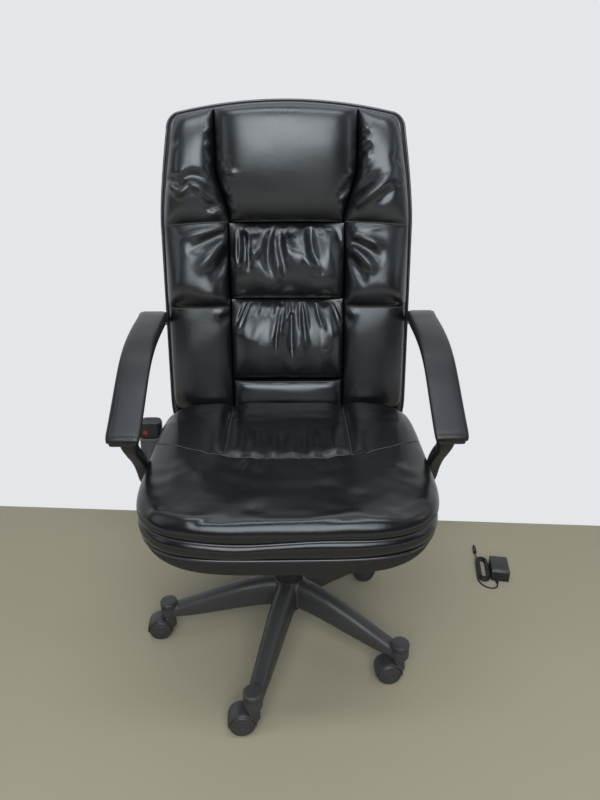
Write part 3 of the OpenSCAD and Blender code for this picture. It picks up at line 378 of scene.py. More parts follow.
def wood(name, low, high):
    s = Shader(name, (0.5, 0.35, 0.2), 0.7)
    s.color_from(s.noise(8, 5, vector=s.stretched((1.5, 22, 30)), distortion=0.8), low, high)
    s.bump(s.noise(60, 3, vector=s.stretched((1, 12, 1))), 0.2, 0.2)
    return s.mat


SEAT_LEATHER = leather("leather_seat", (0.004, 0.004, 0.005), (0.009, 0.009, 0.01), (0.27, 0.37), 0.4,
                       shine=0.62, polish=0.12)
PIPING = leather("leather_piping", (0.012, 0.012, 0.014), (0.02, 0.02, 0.022), (0.26, 0.34), 0.2, 0.2)
ARM_PAD = leather("arm_pad_skin", (0.005, 0.0055, 0.007), (0.009, 0.01, 0.012), (0.3, 0.38), 0.25, shine=0.55)
# thread on the seams: real thread, and its lighter grey than the leather is a painted highlight on the seams'
# lips and ridges
SEAM_THREAD_HIGHLIGHT = plastic("seam_thread_painted_highlight", (0.05, 0.05, 0.055), (0.09, 0.09, 0.095), 0.45)
# the kind and values of finish of each of the record's material slots
FINISH = {
    "black_leather": (leather, (0.004, 0.0045, 0.006), (0.008, 0.0085, 0.011), (0.27, 0.36), 0.3, 0.0, 0.92),
    "border_fabric": (weave, (0.01, 0.01, 0.01), (0.02, 0.02, 0.019), 0.82),
    "pouch_fabric": (weave, (0.075, 0.076, 0.08), (0.13, 0.13, 0.137), 0.75, (260, 260, 1200)),
    "arm_plastic": (plastic, (0.012, 0.012, 0.014), (0.02, 0.02, 0.023), 0.42),
    "nylon_base": (plastic, (0.034, 0.036, 0.036), (0.05, 0.052, 0.052), 0.42, 0.35, 1200),
    "caster_plastic": (plastic, (0.03, 0.031, 0.033), (0.044, 0.045, 0.047), 0.36),
    "caster_tyre": (plastic, (0.024, 0.025, 0.026), (0.044, 0.045, 0.047), 0.45),
    "cover_plastic": (plastic, (0.01, 0.01, 0.011), (0.016, 0.016, 0.017), 0.5),
    "black_steel": (plastic, (0.009, 0.009, 0.01), (0.014, 0.014, 0.015), 0.45, 0.15, 900),
    "control_plastic": (plastic, (0.018, 0.018, 0.02), (0.03, 0.03, 0.033), 0.6, 0.5),
    "handset_plastic": (plastic, (0.016, 0.016, 0.018), (0.026, 0.026, 0.03), 0.42),
    "red_plastic": (plastic, (0.42, 0.012, 0.015), (0.52, 0.02, 0.022), 0.3),
    "grey_plastic": (plastic, (0.1, 0.1, 0.11), (0.14, 0.14, 0.15), 0.45),
    "adapter_plastic": (plastic, (0.012, 0.012, 0.013), (0.022, 0.022, 0.024), 0.4),
    "lead_rubber": (plastic, (0.01, 0.01, 0.011), (0.018, 0.018, 0.02), 0.5),
    "bright_steel": (metal, (0.62, 0.62, 0.64), 0.22, 0.15),
    "spring_steel": (metal, (0.3, 0.3, 0.31), 0.35, 0.1),
    "motor_steel": (metal, (0.45, 0.45, 0.47), 0.35, 0.2),
    "rotor_brass": (metal, (0.62, 0.45, 0.18), 0.3, 0.2),
    "prong_brass": (metal, (0.72, 0.7, 0.62), 0.22, 0.1),
    "plywood": (wood, (0.38, 0.25, 0.13), (0.6, 0.45, 0.28)),
}
FINISH = {slot: kind(slot, *values) for slot, (kind, *values) in FINISH.items()}
for part in frame["record"]["subparts"]:
    materials = frame["nodes"][part["node"]].data.materials
    materials.clear()
    materials.append(FINISH[part["material_slot"]])

# ---------------- adapter and its lead

ADAPTER_AT, ADAPTER_TURN = (540.0, 148.0), math.radians(-10)
LEAD_R, LEAD_Z = 1.8, 1.9
LEAD_BOW = [(-8, -12, 4.2), (-8.2, -19, 3), (-12, -27, LEAD_Z), (-22, -32, LEAD_Z), (-35, -30, LEAD_Z),
            (-46, -22, LEAD_Z), (-53, -10, LEAD_Z), (-55, 0, LEAD_Z), (-55, 5, LEAD_Z)]
LEAD_TAIL = [(-51.6, 65, 14.2), (-51.8, 72, 13.4), (-52, 81, 9.8), (-52.3, 90, 6), (-52.5, 98, 5),
             (-52.5, 104, 5)]
HANK_AT, HANK_RUN, HANK_TURN, HANK_PITCH, HANK_LOOPS, LAYER = (-39.6, 35), 60, 7.2, 4.1, 7 + 1 / 6, 2
RUN_STEPS, TURN_STEPS = 4, 8


def at_adapter(p):
    """Points in the adapter's own place, turned and moved to where it lies."""
    c, s = math.cos(ADAPTER_TURN), math.sin(ADAPTER_TURN)
    return np.stack([ADAPTER_AT[0] + c * p[:, 0] - s * p[:, 1],
                     ADAPTER_AT[1] + s * p[:, 0] + c * p[:, 1], p[:, 2]], 1)


def hank_path():
    """The hank's windings: straight runs and half turns, lane beside lane, then layer on layer."""
    half = RUN_STEPS + TURN_STEPS
    out = []
    for k in range(round(HANK_LOOPS * 2 * half) + 1):
        n = k / (2 * half)
        w = n % (2 * LAYER)
        r = HANK_TURN + HANK_PITCH * (LAYER - w if w < LAYER else w - LAYER)
        side, q = (1, -1)[k // half % 2], k % half
        if q < RUN_STEPS:
            x, y = -r, HANK_RUN * (q / RUN_STEPS - 0.5)
        else:
            a = PI * (1 - (q - RUN_STEPS) / TURN_STEPS)
            x, y = r * math.cos(a), HANK_RUN / 2 + r * math.sin(a)
        layer = math.floor(n / LAYER + 0.5)
        rise = 0 if layer < 1 else layer - 1 + float(smooth((n - layer * LAYER + 0.25) / 0.5))
        out.append((HANK_AT[0] + side * x, HANK_AT[1] + side * y, LEAD_R + 0.1 + HANK_PITCH * rise))
    return np.array(out)


bow, tail = line_points(LEAD_BOW, 4), line_points(LEAD_TAIL, 4)
route = at_adapter(np.concatenate([bow[:-1], hank_path(), tail[1:]]))
steps = np.linalg.norm(np.diff(route, axis=0), axis=1)
route = route[np.concatenate([[True], steps > 0.05])]
lead = make("lead", tube(route, LEAD_R, 10), "base", "lead_rubber", "adapter_lead", "adapter_lead_hank")
lead_length = float(np.linalg.norm(np.diff(route, axis=0), axis=1).sum())
[c * MM for c in route[0]]

# the adapter's case keeps its CAD shape, with its edges rounded
case = place("adapter_shell", frame["nodes"]["adapter_case"].data.copy())
case.modifiers.new("weld", "WELD").merge_threshold = 0.02 * MM
flat = case.modifiers.new("flat", "DECIMATE")
flat.decimate_type, flat.angle_limit = "DISSOLVE", math.radians(3)
bevel = case.modifiers.new("bevel", "BEVEL")
bevel.width, bevel.segments, bevel.limit_method, bevel.angle_limit = 1.2 * MM, 3, "ANGLE", math.radians(35)
bevel.harden_normals = False
apply_modifiers(case)
case.data.set_sharp_from_angle(angle=math.radians(32))
dress(case, "base", "adapter_plastic", "adapter_case")

# ---------------- back

# on the back, u runs across, v up along it and w out of it towards the front
RECLINE = math.radians(8.3)
RC, RS = math.cos(RECLINE), math.sin(RECLINE)
BACK_Y, BACK_Z = 190.0, 488.0
BACK_LEN, BACK_BELOW, BACK_HALF, TOP_ARC = 648.0, 66.0, 276.0, 36.0
SHOULDER_V, SHOULDER_DRAW, CORNER_R, FOOT_DRAW = 400.0, 33.0, 26.0, 10.0
RIM_W, RIM_TOP, RIM_FRONT, SHELL_REAR = 28.0, 14.0, -40.0, -100.0
EDGE_W, FLOOR_W, PAD_GAP = -24.0, -55.0, 1.0
MIDDLE, PILLOW_HALF, BOLSTER_IN = 126.0, 148.0, 10.0
PILLOW_LOW, PILLOW_HIGH, UPPER_LOW, LOWER_LOW, STRIP_LOW = 399.0, 636.0, 236.0, 52.0, -22.0
BOLSTER_SEAMS = (222.0, 402.0)


def on_back(q):
    q = np.asarray(q, float)
    u, v, w = q[..., 0], q[..., 1], q[..., 2]
    return np.stack([u, BACK_Y + RS * v - RC * w, BACK_Z + RC * v + RS * w], -1)


def at_height(outline, z):
    return np.column_stack([outline, np.broadcast_to(z, (len(outline),))])


def back_half_at(v):
    v = np.asarray(v, float)
    return (BACK_HALF - SHOULDER_DRAW * np.maximum(0, (v - SHOULDER_V) / (BACK_LEN - SHOULDER_V)) ** 1.4
            - FOOT_DRAW * np.maximum(0, -v / BACK_BELOW) ** 2)


def back_top_at(u):
    return BACK_LEN - TOP_ARC * (np.asarray(u, float) / BACK_HALF) ** 2


def back_outline(d):
    """Outline of the back drawn in by d, counter-clockwise, the same points for every d."""
    r = CORNER_R
    foot_v, corner_v = -BACK_BELOW + d, BACK_LEN - TOP_ARC - r
    corner_u = float(back_half_at(corner_v)) - r
    top_v = float(back_top_at(corner_u)) - d
    half = [(float(back_half_at(foot_v + r)) - d - r + r * math.cos(a), foot_v + r + r * math.sin(a))
            for a in np.radians(np.linspace(-90, 0, 10))]
    for k in range(1, 36):
        v = mix(foot_v + r, corner_v, k / 36)
        half.append((float(back_half_at(v)) - d, v))
    for a in np.linspace(0, 90, 13)[:-1]:
        half.append((corner_u - d + r * math.cos(math.radians(a)),
                     mix(corner_v, top_v - r, a / 90) + r * math.sin(math.radians(a))))
    for k in range(24):
        u = (corner_u - d) * (1 - k / 24)
        half.append((u, float(back_top_at(u * corner_u / (corner_u - d))) - d))
    foot = [(half[0][0] * (1 - 2 * k / 16), foot_v) for k in range(15, 0, -1)]
    return np.concatenate([half, np.array(half)[::-1] * (-1, 1), foot])


def fall(s, p):
    """1 in the middle of a pad, 0 at its edges; a higher p keeps it full for longer."""
    return np.sqrt(np.maximum(0, 1 - np.abs(s) ** p))


def belly(t, peak, above, below):
    """A sagging cushion's height from its lower to its upper seam, 1 where t is peak."""
    up, down = np.clip((t - peak) / (1 - peak), 0, 1), np.clip((peak - t) / (1 + peak), 0, 1)
    return np.where(t > peak, 1 - up ** above, fall(down, below))


def crowded(n):
    """Places from -1 to 1 that crowd towards both ends."""
    x = np.linspace(-1, 1, n + 1)
    return 0.45 * x + 0.55 * np.sin(x * PI / 2)


SKINS, SIM_FRAMES, SWELL_LIMIT = [], 24, 9.0


class Skin:
    """The face of one pad: a grid in (u, v, w), sewn down round its edge and along its seams."""

    def __init__(self, name, nu, nv, outer, rise, node, fill, stretch, push=3.0, bend=1.2, seams=(), lips=()):
        self.name, self.node, self.fill = name, node, fill
        self.stretch, self.push, self.bend = stretch, push, bend
        s, t = np.meshgrid(crowded(nu), crowded(nv))
        u, v = self.flat = outer(s, t)
        self.grid = np.stack([u, v, rise(s, t, u, v)], -1)
        self.seams = [int(np.abs(v[:, nu // 2] - seam).argmin()) for seam in seams]
        self.lips = self.seams + list(lips)
        self.index = i = np.arange(u.size).reshape(u.shape)
        self.quads = np.stack([i[:-1, :-1], i[:-1, 1:], i[1:, 1:], i[1:, :-1]], -1).reshape(-1, 4).tolist()
        SKINS.append(self)

    def begin(self):
        """Sets up the cloth, whose rest shape is the sheet as cut, a little larger than it is sewn."""
        self.sim = place("sim_" + self.name, mesh_of("sim", (on_back(self.grid).reshape(-1, 3), self.quads)))
        i = self.index
        sewn = np.unique(np.concatenate([i[0], i[-1], i[:, 0], i[:, -1], *(i[r] for r in self.seams)]))
        self.sim.vertex_groups.new(name="sewn").add(sewn.tolist(), 1.0, "REPLACE")
        self.sim.shape_key_add(name="Basis")
        key = self.sim.shape_key_add(name="cut")
        g = self.grid.copy()
        su, sv = self.stretch
        su = su(g[..., 1]) if callable(su) else su
        for axis, factor in ((0, su), (1, sv)):
            middle = (g[..., axis].min() + g[..., axis].max()) / 2
            g[..., axis] = middle + (g[..., axis] - middle) * factor
        key.data.foreach_set("co", (on_back(g).reshape(-1) * MM).astype(np.float32))
        cloth = self.sim.modifiers.new("cloth", "CLOTH")
        cloth.collision_settings.use_collision = cloth.collision_settings.use_self_collision = False
        cloth.point_cache.frame_start, cloth.point_cache.frame_end = 1, SIM_FRAMES
        c = cloth.settings
        c.quality, c.mass, c.air_damping = 6, 0.25, 4
        c.tension_stiffness = c.compression_stiffness = 20
        c.tension_damping = c.compression_damping = 15
        c.shear_stiffness, c.bending_stiffness = 8, self.bend
        c.vertex_group_mass, c.rest_shape_key = "sewn", key
        c.use_pressure, c.uniform_pressure_force = True, self.push
        c.effector_weights.gravity = 0

    def take(self):
        """Takes the swollen cloth over into the grid, no point further from its place than the limit."""
        mesh = self.sim.evaluated_get(bpy.context.evaluated_depsgraph_get()).data
        co = np.zeros(len(mesh.vertices) * 3, np.float32)
        mesh.vertices.foreach_get("co", co)
        p = co.reshape(self.grid.shape).astype(float) / MM
        y, z = p[..., 1] - BACK_Y, p[..., 2] - BACK_Z
        step = np.stack([p[..., 0], RS * y + RC * z, -RC * y + RS * z], -1) - self.grid
        size = np.linalg.norm(step, axis=-1, keepdims=True)
        g = self.grid + step * np.minimum(1, SWELL_LIMIT / np.maximum(size, 1e-6))
        # neighbours press on each other at the seams instead of passing through
        for axis, flat in enumerate(self.flat):
            low, high = flat.min(1 - axis, keepdims=True), flat.max(1 - axis, keepdims=True)
            g[..., axis] = np.clip(g[..., axis], low, high)
        self.grid = g
        bpy.data.objects.remove(self.sim)

    def finish(self):
        """Closes the grid behind with a low wall and a floor, and lays thread along its seams, in a lighter
        grey that is a painted highlight on the seams' lips.
        """
        g, i = self.grid.reshape(-1, 3), self.index
        loop = np.concatenate([i[0, :-1], i[:-1, -1], i[-1, :0:-1], i[:0:-1, 0]]).tolist()
        n0, n = len(g), len(loop)
        centre = g[loop].mean(0)
        mid, low = g[loop], g[loop]
        mid[:, 2] = (EDGE_W + FLOOR_W) / 2
        low[:, :2] += (centre[:2] - low[:, :2]) * 0.015
        low[:, 2] = FLOOR_W
        verts = np.concatenate([g, mid, low, [[centre[0], centre[1], FLOOR_W]]])
        faces = list(self.quads)
        for k in range(n):
            m = (k + 1) % n
            faces.append((loop[m], loop[k], n0 + k, n0 + m))
            faces.append((n0 + m, n0 + k, n0 + n + k, n0 + n + m))
            faces.append((n0 + n + m, n0 + n + k, n0 + 2 * n))
        make(self.name, (on_back(verts), faces), "tilt", "black_leather", self.node, fill=self.fill)
        # thread tubes along the seams; their lighter grey paints the highlight on each seam's lip
        for k, r in enumerate(self.lips):
            p = self.grid[r - 1, 2:-2] + (0, 0, 0.2)
            radius = 1.3 * np.sin(np.linspace(0.12, PI - 0.12, len(p))) ** 0.3
            make("%s_seam_%d" % (self.name, k + 1), tube(on_back(p), radius), "tilt", "black_leather",
                 material=SEAM_THREAD_HIGHLIGHT)


def box_outer(low, high, half, arc=0.0):
    def outer(s, t):
        v = mix(low, high, (t + 1) / 2)
        u = s * (half(v) if callable(half) else half)
        return u, np.where(t > 0, v - arc * (u / BACK_HALF) ** 2 * t, v)
    return outer


def pillow_half(v):
    return mix(MIDDLE - 5, PILLOW_HALF, smooth((np.asarray(v, float) - PILLOW_LOW) / 120))


# folds, each as (height, half width, u, v, u, v...)
PILLOW_FOLDS = [
    (5, 5, -129, 504, -115, 498, -99, 492), (-4, 6, -129, 511, -113, 506), (4, 6, -130, 466, -117, 449),
    (4, 6, -124, 438, -107, 418), (-3, 7, -129, 451, -114, 433), (5, 6, 136, 460, 123, 450, 107, 439),
    (-4, 7, 128, 467, 103, 454), (4, 5, 137, 497, 123, 490), (2, 6, -132, 518, -114, 523),
    (-3, 7, 132, 478, 118, 470), (3, 6, 128, 432, 112, 420),
]
UPPER_FOLDS = [
    (-7, 5, -84, 392, -81, 359, -80, 325, -80, 292), (-6, 4, -104, 379, -100, 351, -102, 305),
    (5, 4, -91, 371, -90, 330, -93, 296), (4, 4, -110, 371, -109, 330, -108, 300),
    (-7, 8, -67, 396, -68, 363), (-10, 6, -27, 389, -38, 363, -41, 330, -35, 300, -24, 272),
    (6, 5, -23, 391, -26, 352, -20, 317, -14, 268), (-6, 7, -17, 371, -11, 329, -5, 279),
    (-8, 9, 5, 395, 7, 363), (-9, 6, 56, 387, 51, 363, 56, 333, 69, 308),
    (7, 8, 34, 383, 36, 346, 51, 312, 73, 291), (8, 12, 92, 391, 90, 342, 88, 295),
    (-8, 5, 104, 391, 113, 366, 122, 346), (6, 5, 126, 393, 126, 358), (-5, 5, 70, 391, 73, 367),
    (6, 10, -4, 350, 28, 329, 67, 295, 101, 287), (7, 8, -91, 371, -81, 346, -66, 338, -51, 355, -36, 379),
    (5, 5, -108, 243, -97, 249, -86, 243), (5, 6, -10, 242, 4, 253, 19, 242),
    (5, 5, 71, 240, 84, 248, 93, 240), (4, 5, 122, 239, 128, 257),
]
LOWER_FOLDS = [
    (-6, 4, -93, 230, -104, 203, -116, 175), (-4, 3.5, -82, 229, -93, 201, -110, 161),
    (-9, 4.5, -12, 229, -17, 192, -24, 159, -26, 120), (-6, 3.5, -1, 229, -3, 196, -6, 159),
    (-5, 4, 10, 229, 14, 201), (-9, 5.5, 8, 201, 7, 158, 9, 125, 14, 93), (-7, 4, 28, 229, 27, 187, 30, 152),
    (-7, 4, 36, 229, 43, 196, 47, 156), (-7, 4.5, 63, 229, 69, 198, 81, 169),
    (-7, 4, 106, 229, 118, 200, 130, 164), (-3.5, 3.5, 96, 229, 107, 200, 118, 165),
    (-3, 4, -64, 229, -67, 197), (-3, 4, -47, 229, -50, 192), (-3, 4, -32, 229, -32, 196),
    (5, 3.5, -14, 218, -15, 170, -15, 141), (5, 6, 38, 169, 41, 120), (4, 4, -3, 192, 8, 207, 19, 192),
    (4, 14, -51, 218, -63, 170, -75, 134), (5, 12, 82, 222, 96, 169, 103, 129),
]
LEFT_FOLDS = [
    (7, 9, -244, 474, -227, 460, -213, 464, -202, 476, -177, 468, -167, 451, -131, 440),
    (-8, 12, -242, 485, -216, 480, -194, 491, -166, 481, -142, 457), (5, 9, -132, 426, -169, 411),
    (-4, 9, -135, 435, -172, 427), (-4, 10, -236, 561, -218, 558), (3, 7, -149, 579, -166, 590),
    (-3, 6, -150, 567, -165, 576), (3, 7, -149, 548, -166, 561), (-3, 6, -147, 536, -165, 546),
    (3, 7, -145, 515, -164, 528), (6, 11, -135, 388, -188, 378, -244, 362),
    (-6, 10, -128, 378, -171, 360, -216, 335), (8, 13, -128, 367, -161, 331, -198, 293),
    (-6, 12, -126, 342, -147, 302, -164, 270), (4, 10, -125, 310, -134, 273), (4, 9, -128, 214, -165, 200),
    (-3, 10, -128, 200, -155, 180),
]
RIGHT_FOLDS = [
    (8, 11, 149, 439, 182, 462, 228, 498), (-7, 10, 143, 457, 168, 477, 203, 501), (4, 8, 153, 579, 175, 590),
    (-3, 6, 155, 569, 174, 579), (4, 8, 157, 554, 174, 570), (-4, 7, 157, 541, 176, 558),
    (4, 8, 159, 516, 175, 541), (-4, 12, 241, 531, 227, 514), (-4, 9, 226, 470, 190, 436),
    (4, 9, 243, 484, 212, 457), (5, 9, 146, 391, 177, 387, 239, 403), (8, 10, 147, 370, 174, 363, 212, 346),
    (-7, 10, 147, 357, 175, 341, 207, 316), (8, 10, 143, 343, 166, 323, 195, 292),
    (-5, 9, 142, 320, 157, 294, 173, 264), (4, 9, 128, 214, 160, 196), (-3, 10, 128, 198, 150, 176),
]
# heights of the gathered pads' fullest places across them, as (u, v)
UPPER_LINE = [
    (-125, 290), (-105, 300), (-75, 328), (-45, 292), (-22, 300), (0, 330), (30, 305), (60, 285), (100, 284),
    (125, 300),
]
LOWER_LINE = [
    (-125, 165), (-60, 138), (-42, 145), (-15, 170), (10, 116), (35, 150), (75, 125), (125, 168),
]


def pillow_rise(s, t, u, v):
    up, down = np.clip((t - 0.3) / 0.7, 0, 1), np.clip((0.3 - t) / 1.3, 0, 1)
    edge = fall(s, 5) * np.where(t > 0.3, (1 - 0.27 * up ** 2.2) * fall(up, 10),
                                 (1 - 0.42 * down ** 1.5) * fall(down, 8))
    return (mix(EDGE_W + 4, 27, edge) + 1.2 * stroke_field(u, v, PILLOW_FOLDS) * smooth(edge * 2)
            + ripple(u, v, 3, 6, 120, 0.8) * edge)


def gathered_rise(low, high, line, above, folds, wider=1.0):
    """A pad gathered at its upper seam; line holds the heights of its fullest places across it."""
    def rise(s, t, u, v):
        edge = fall(s, 6) * belly(t, (follow(line, u) - low) / (high - low) * 2 - 1, above, 2.6)
        return mix(EDGE_W, 20, edge) + stroke_field(u, v, folds, wider) * smooth(edge * 2)
    return rise


def strip_rise(s, t, u, v):
    return mix(EDGE_W, -2, fall(s, 7) * fall(t, 5)) + ripple(u, v, 5, 5, 70, 0.5) * fall(s, 4) * fall(t, 4)


def bolster_outer(side):
    def outer(s, t):
        v = mix(STRIP_LOW, PILLOW_HIGH, (t + 1) / 2)
        inner = np.where(v > PILLOW_LOW, pillow_half(v) + 2 * PAD_GAP, MIDDLE + PAD_GAP)
        u = mix(inner, back_half_at(v) - BOLSTER_IN - 10 * np.abs(t) ** 30, (1 + s * side) / 2)
        return side * u, np.where(t > 0, v - TOP_ARC * (u / BACK_HALF) ** 2 * t, v)
    return outer


# each part of a bolster from the seat up: its height, its fullest place and its fall above that
BOLSTER_PARTS = [(6, 0.1, 1.8), (28, -0.6, 1.3), (23, -0.35, 1.5)]


def bolster_rise(side, folds):
    def rise(s, t, u, v):
        edge = fall(s, 2.5) * fall(t, 14)
        plain = mix(STRIP_LOW, PILLOW_HIGH, (t + 1) / 2)
        marks = (STRIP_LOW, *BOLSTER_SEAMS, PILLOW_HIGH)
        puff = np.zeros_like(u)
        for low, high, (height, peak, above) in zip(marks, marks[1:], BOLSTER_PARTS):
            q = (plain - low) / (high - low) * 2 - 1
            bulge = belly(np.clip(q, -1, 1), peak + 0.15 * np.sin(u / 33 + low), above, 2.4)
            puff = np.where(np.abs(q) <= 1, height * bulge, puff)
        base = EDGE_W - 9 * smooth((s * side - 0.2) / 0.8)
        seam = np.clip(sum(bell(plain - b, 7.0) for b in BOLSTER_SEAMS), 0, 1)
        wrinkles = 1.3 * stroke_field(u, v, folds) * smooth(edge * 1.7) * (1 - 0.7 * seam)
        return mix(base, puff - 3, edge) + wrinkles + ripple(u, v, 11, 6, 90, 0.7) * edge
    return rise


def gather(top, amount, reach):
    """How much wider than its place a pad is cut, most of all along its upper seam."""
    return lambda v: 1.02 + amount * smooth(1 - (top - v) / reach)


MIDDLE_HALF = MIDDLE - PAD_GAP
Skin("head_cushion", 72, 64, box_outer(PILLOW_LOW + PAD_GAP, PILLOW_HIGH, pillow_half, TOP_ARC), pillow_rise,
     "head_pillow", 0.85, (1.0, 1.0), 2.0, 3.0)
Skin("gathered_upper", 108, 66, box_outer(UPPER_LOW + PAD_GAP, PILLOW_LOW - PAD_GAP, MIDDLE_HALF),
     gathered_rise(UPPER_LOW, PILLOW_LOW, UPPER_LINE, 1.4, UPPER_FOLDS, 1.35),
     "lumbar_pad_upper", 0.6, (gather(398, 0.08, 150), 1.03), 3.0, 2.0)
Skin("gathered_lower", 120, 70, box_outer(LOWER_LOW + PAD_GAP, UPPER_LOW - PAD_GAP, MIDDLE_HALF),
     gathered_rise(LOWER_LOW, UPPER_LOW, LOWER_LINE, 1.5, LOWER_FOLDS),
     "lumbar_pad_lower", 0.65, (gather(235, 0.14, 100), 1.02), 3.0, 0.6)
Skin("lumbar_band", 60, 22, box_outer(STRIP_LOW, LOWER_LOW - PAD_GAP, MIDDLE_HALF), strip_rise,
     "lumbar_strip", 0.7, (1.01, 1.01), 2.0, lips=(21,))
for side, label, folds in ((-1, "left", LEFT_FOLDS), (1, "right", RIGHT_FOLDS)):
    Skin("side_bolster_" + label, 44, 170, bolster_outer(side), bolster_rise(side, folds),
         "bolster_" + label, 0.7, (1.03, 1.02), seams=BOLSTER_SEAMS)

for skin in SKINS:
    skin.begin()
for f in range(1, SIM_FRAMES + 1):
    scene.frame_set(f)
for skin in SKINS:
    skin.take()
scene.frame_set(1)
for skin in SKINS:
    skin.finish()

# the padded shell behind the pads, with a welt round its front edge and one round its rear panel
REAR_DRAW, REAR_MID_V = 30, 290
SHELL_STEPS = [(d, SHELL_REAR + w) for d, w in (
    (REAR_DRAW, -3), (20, 0.5), (13, 3.5), (7, 8), (3, 14), (0.8, 22), (0, 32))]
SHELL_STEPS += [(d, RIM_FRONT + w) for d, w in (
    (0.5, -12), (2, -4.5), (4.5, -0.5), (8, 2), (13, 3), (20, 2), (25, -3), (26.5, -12))]


def shell_ring(d, w):
    o = back_outline(d)
    if d > RIM_TOP - 2 and w > SHELL_REAR + 30:
        o[:, 1] += (min(d, RIM_W) - RIM_TOP + 2) * smooth((o[:, 1] - 450) / 100)
    return on_back(at_height(o, w))


rings = [on_back(at_height(back_outline(REAR_DRAW) * k + (0, REAR_MID_V * (1 - k)),
                           SHELL_REAR - 3 - 2.5 * (1 - k * k))) for k in (0.15, 0.4, 0.65, 0.85)]
rings += [shell_ring(d, w) for d, w in SHELL_STEPS]
make("back_case", loft(rings), "tilt", "black_leather", "back_shell", fill=0.8)
for name, d, w, r in (("front", 3.0, RIM_FRONT - 1.0, 2.6), ("rear", 11, SHELL_REAR + 3.5, 2.4)):
    make("back_welt_" + name, tube(on_back(at_height(back_outline(d), w)), r, closed=True),
         "tilt", "black_leather", material=PIPING)

# ---------------- seat

SEAT_Z, LOWER_WELT, UPPER_WELT, CROWN = 352.0, 411.0, 446.0, 44.0
SEAT_HALF_W, SEAT_HALF_D, SEAT_MID_Y = 271.0, 236.0, -45.0
FRONT_POWER, REAR_POWER, BULGE, BORDER_IN = 4.2, 8.0, 3.0, 38.0
REAR_LIMIT = BACK_Y - (BACK_Z - UPPER_WELT) * math.tan(RECLINE) - 1
OUTLINE_N = 240
SEAM_Y, SEAM_BOW, SEAM_X, SEAM_END, STITCH_R = -70.0, 74.0, 124.0, 160, 0.8


def seat_outline(d):
    """The seat's outline drawn in by d, squarer behind than in front."""
    a = (np.arange(OUTLINE_N) + 0.5) * 360 / OUTLINE_N
    g = np.radians(a + np.where(a < 180, 7 * np.sin(np.radians(4 * a)), 0))
    x, y = squared(g, 2 / np.where(a < 180, REAR_POWER, FRONT_POWER))
    return np.column_stack([(SEAT_HALF_W - d) * x, (SEAT_HALF_D - d) * y + SEAT_MID_Y])


def edge_wave(o):
    """The upper welt wanders up and down a little and sags left of the middle of its front."""
    x, front = o[:, 0], smooth((-60 - o[:, 1]) / 120)
    return ripple(x, o[:, 1], 41, 4, 240, 1.2) + front * (2.2 * bell(x - 95, 80) - 4.6 * bell(x + 85, 85))


def band(name, steps, slot, node, fill, waves, material=None, lift=lambda o, share: 0):
    """A padded band round the seat from (draw, height) pairs, least even in its middle."""
    rings = []
    for k, (d, z) in enumerate(steps):
        o, share = seat_outline(d), k / (len(steps) - 1)
        out = ripple(o[:, 0], o[:, 1], *waves) * math.sin(PI * share)
        rings.append(at_height(o + out[:, None] * np.sign(o - (0, SEAT_MID_Y)) * 0.5, z + lift(o, share)))
    make(name, loft(rings), "tilt", slot, node, material=material, fill=fill)


def roll_lift(o, share):
    return (ripple(o[:, 0], o[:, 1] + 400, 33, 4, 150, 0.8) * math.sin(PI * share)
            + edge_wave(o) * smooth(share))


BORDER_STEPS = [(BORDER_IN * share, SEAT_Z + z) for share, z in (
    (1, 0.3), (0.8, 5.5), (0.62, 12), (0.45, 20), (0.3, 28.5), (0.18, 37), (0.09, 46), (0.04, 54))]
BORDER_STEPS = [(BORDER_IN + 7, SEAT_Z), *BORDER_STEPS, (2.2, LOWER_WELT - 1), (8, LOWER_WELT - 0.4)]
ROLL_STEPS = [(d, LOWER_WELT + z) for d, z in (
    (10, 0.3), (3.5, 1.2), (0, 4), (-2.2, 9), (-3.2, 14), (-3.4, 19), (-2.8, 24), (-0.8, 29))]
ROLL_STEPS += [(2.5, UPPER_WELT - 2.4), (5, UPPER_WELT - 0.9), (10, UPPER_WELT - 0.4)]
band("seat_border_cover", BORDER_STEPS, "border_fabric", "seat_border", 0.9, (21, 5, 160, 0.8))
band("seat_roll", ROLL_STEPS, "black_leather", "seat_lower_roll", 0.85, (31, 6, 90, 0.9), SEAT_LEATHER,
     roll_lift)
rim = seat_outline(1.0)
for name, z in (("lower", LOWER_WELT - 0.2), ("upper", UPPER_WELT - 0.2 + edge_wave(rim))):
    make("seat_welt_" + name, tube(at_height(rim, z), 2.5, closed=True), "tilt", "black_leather",
         material=PIPING)

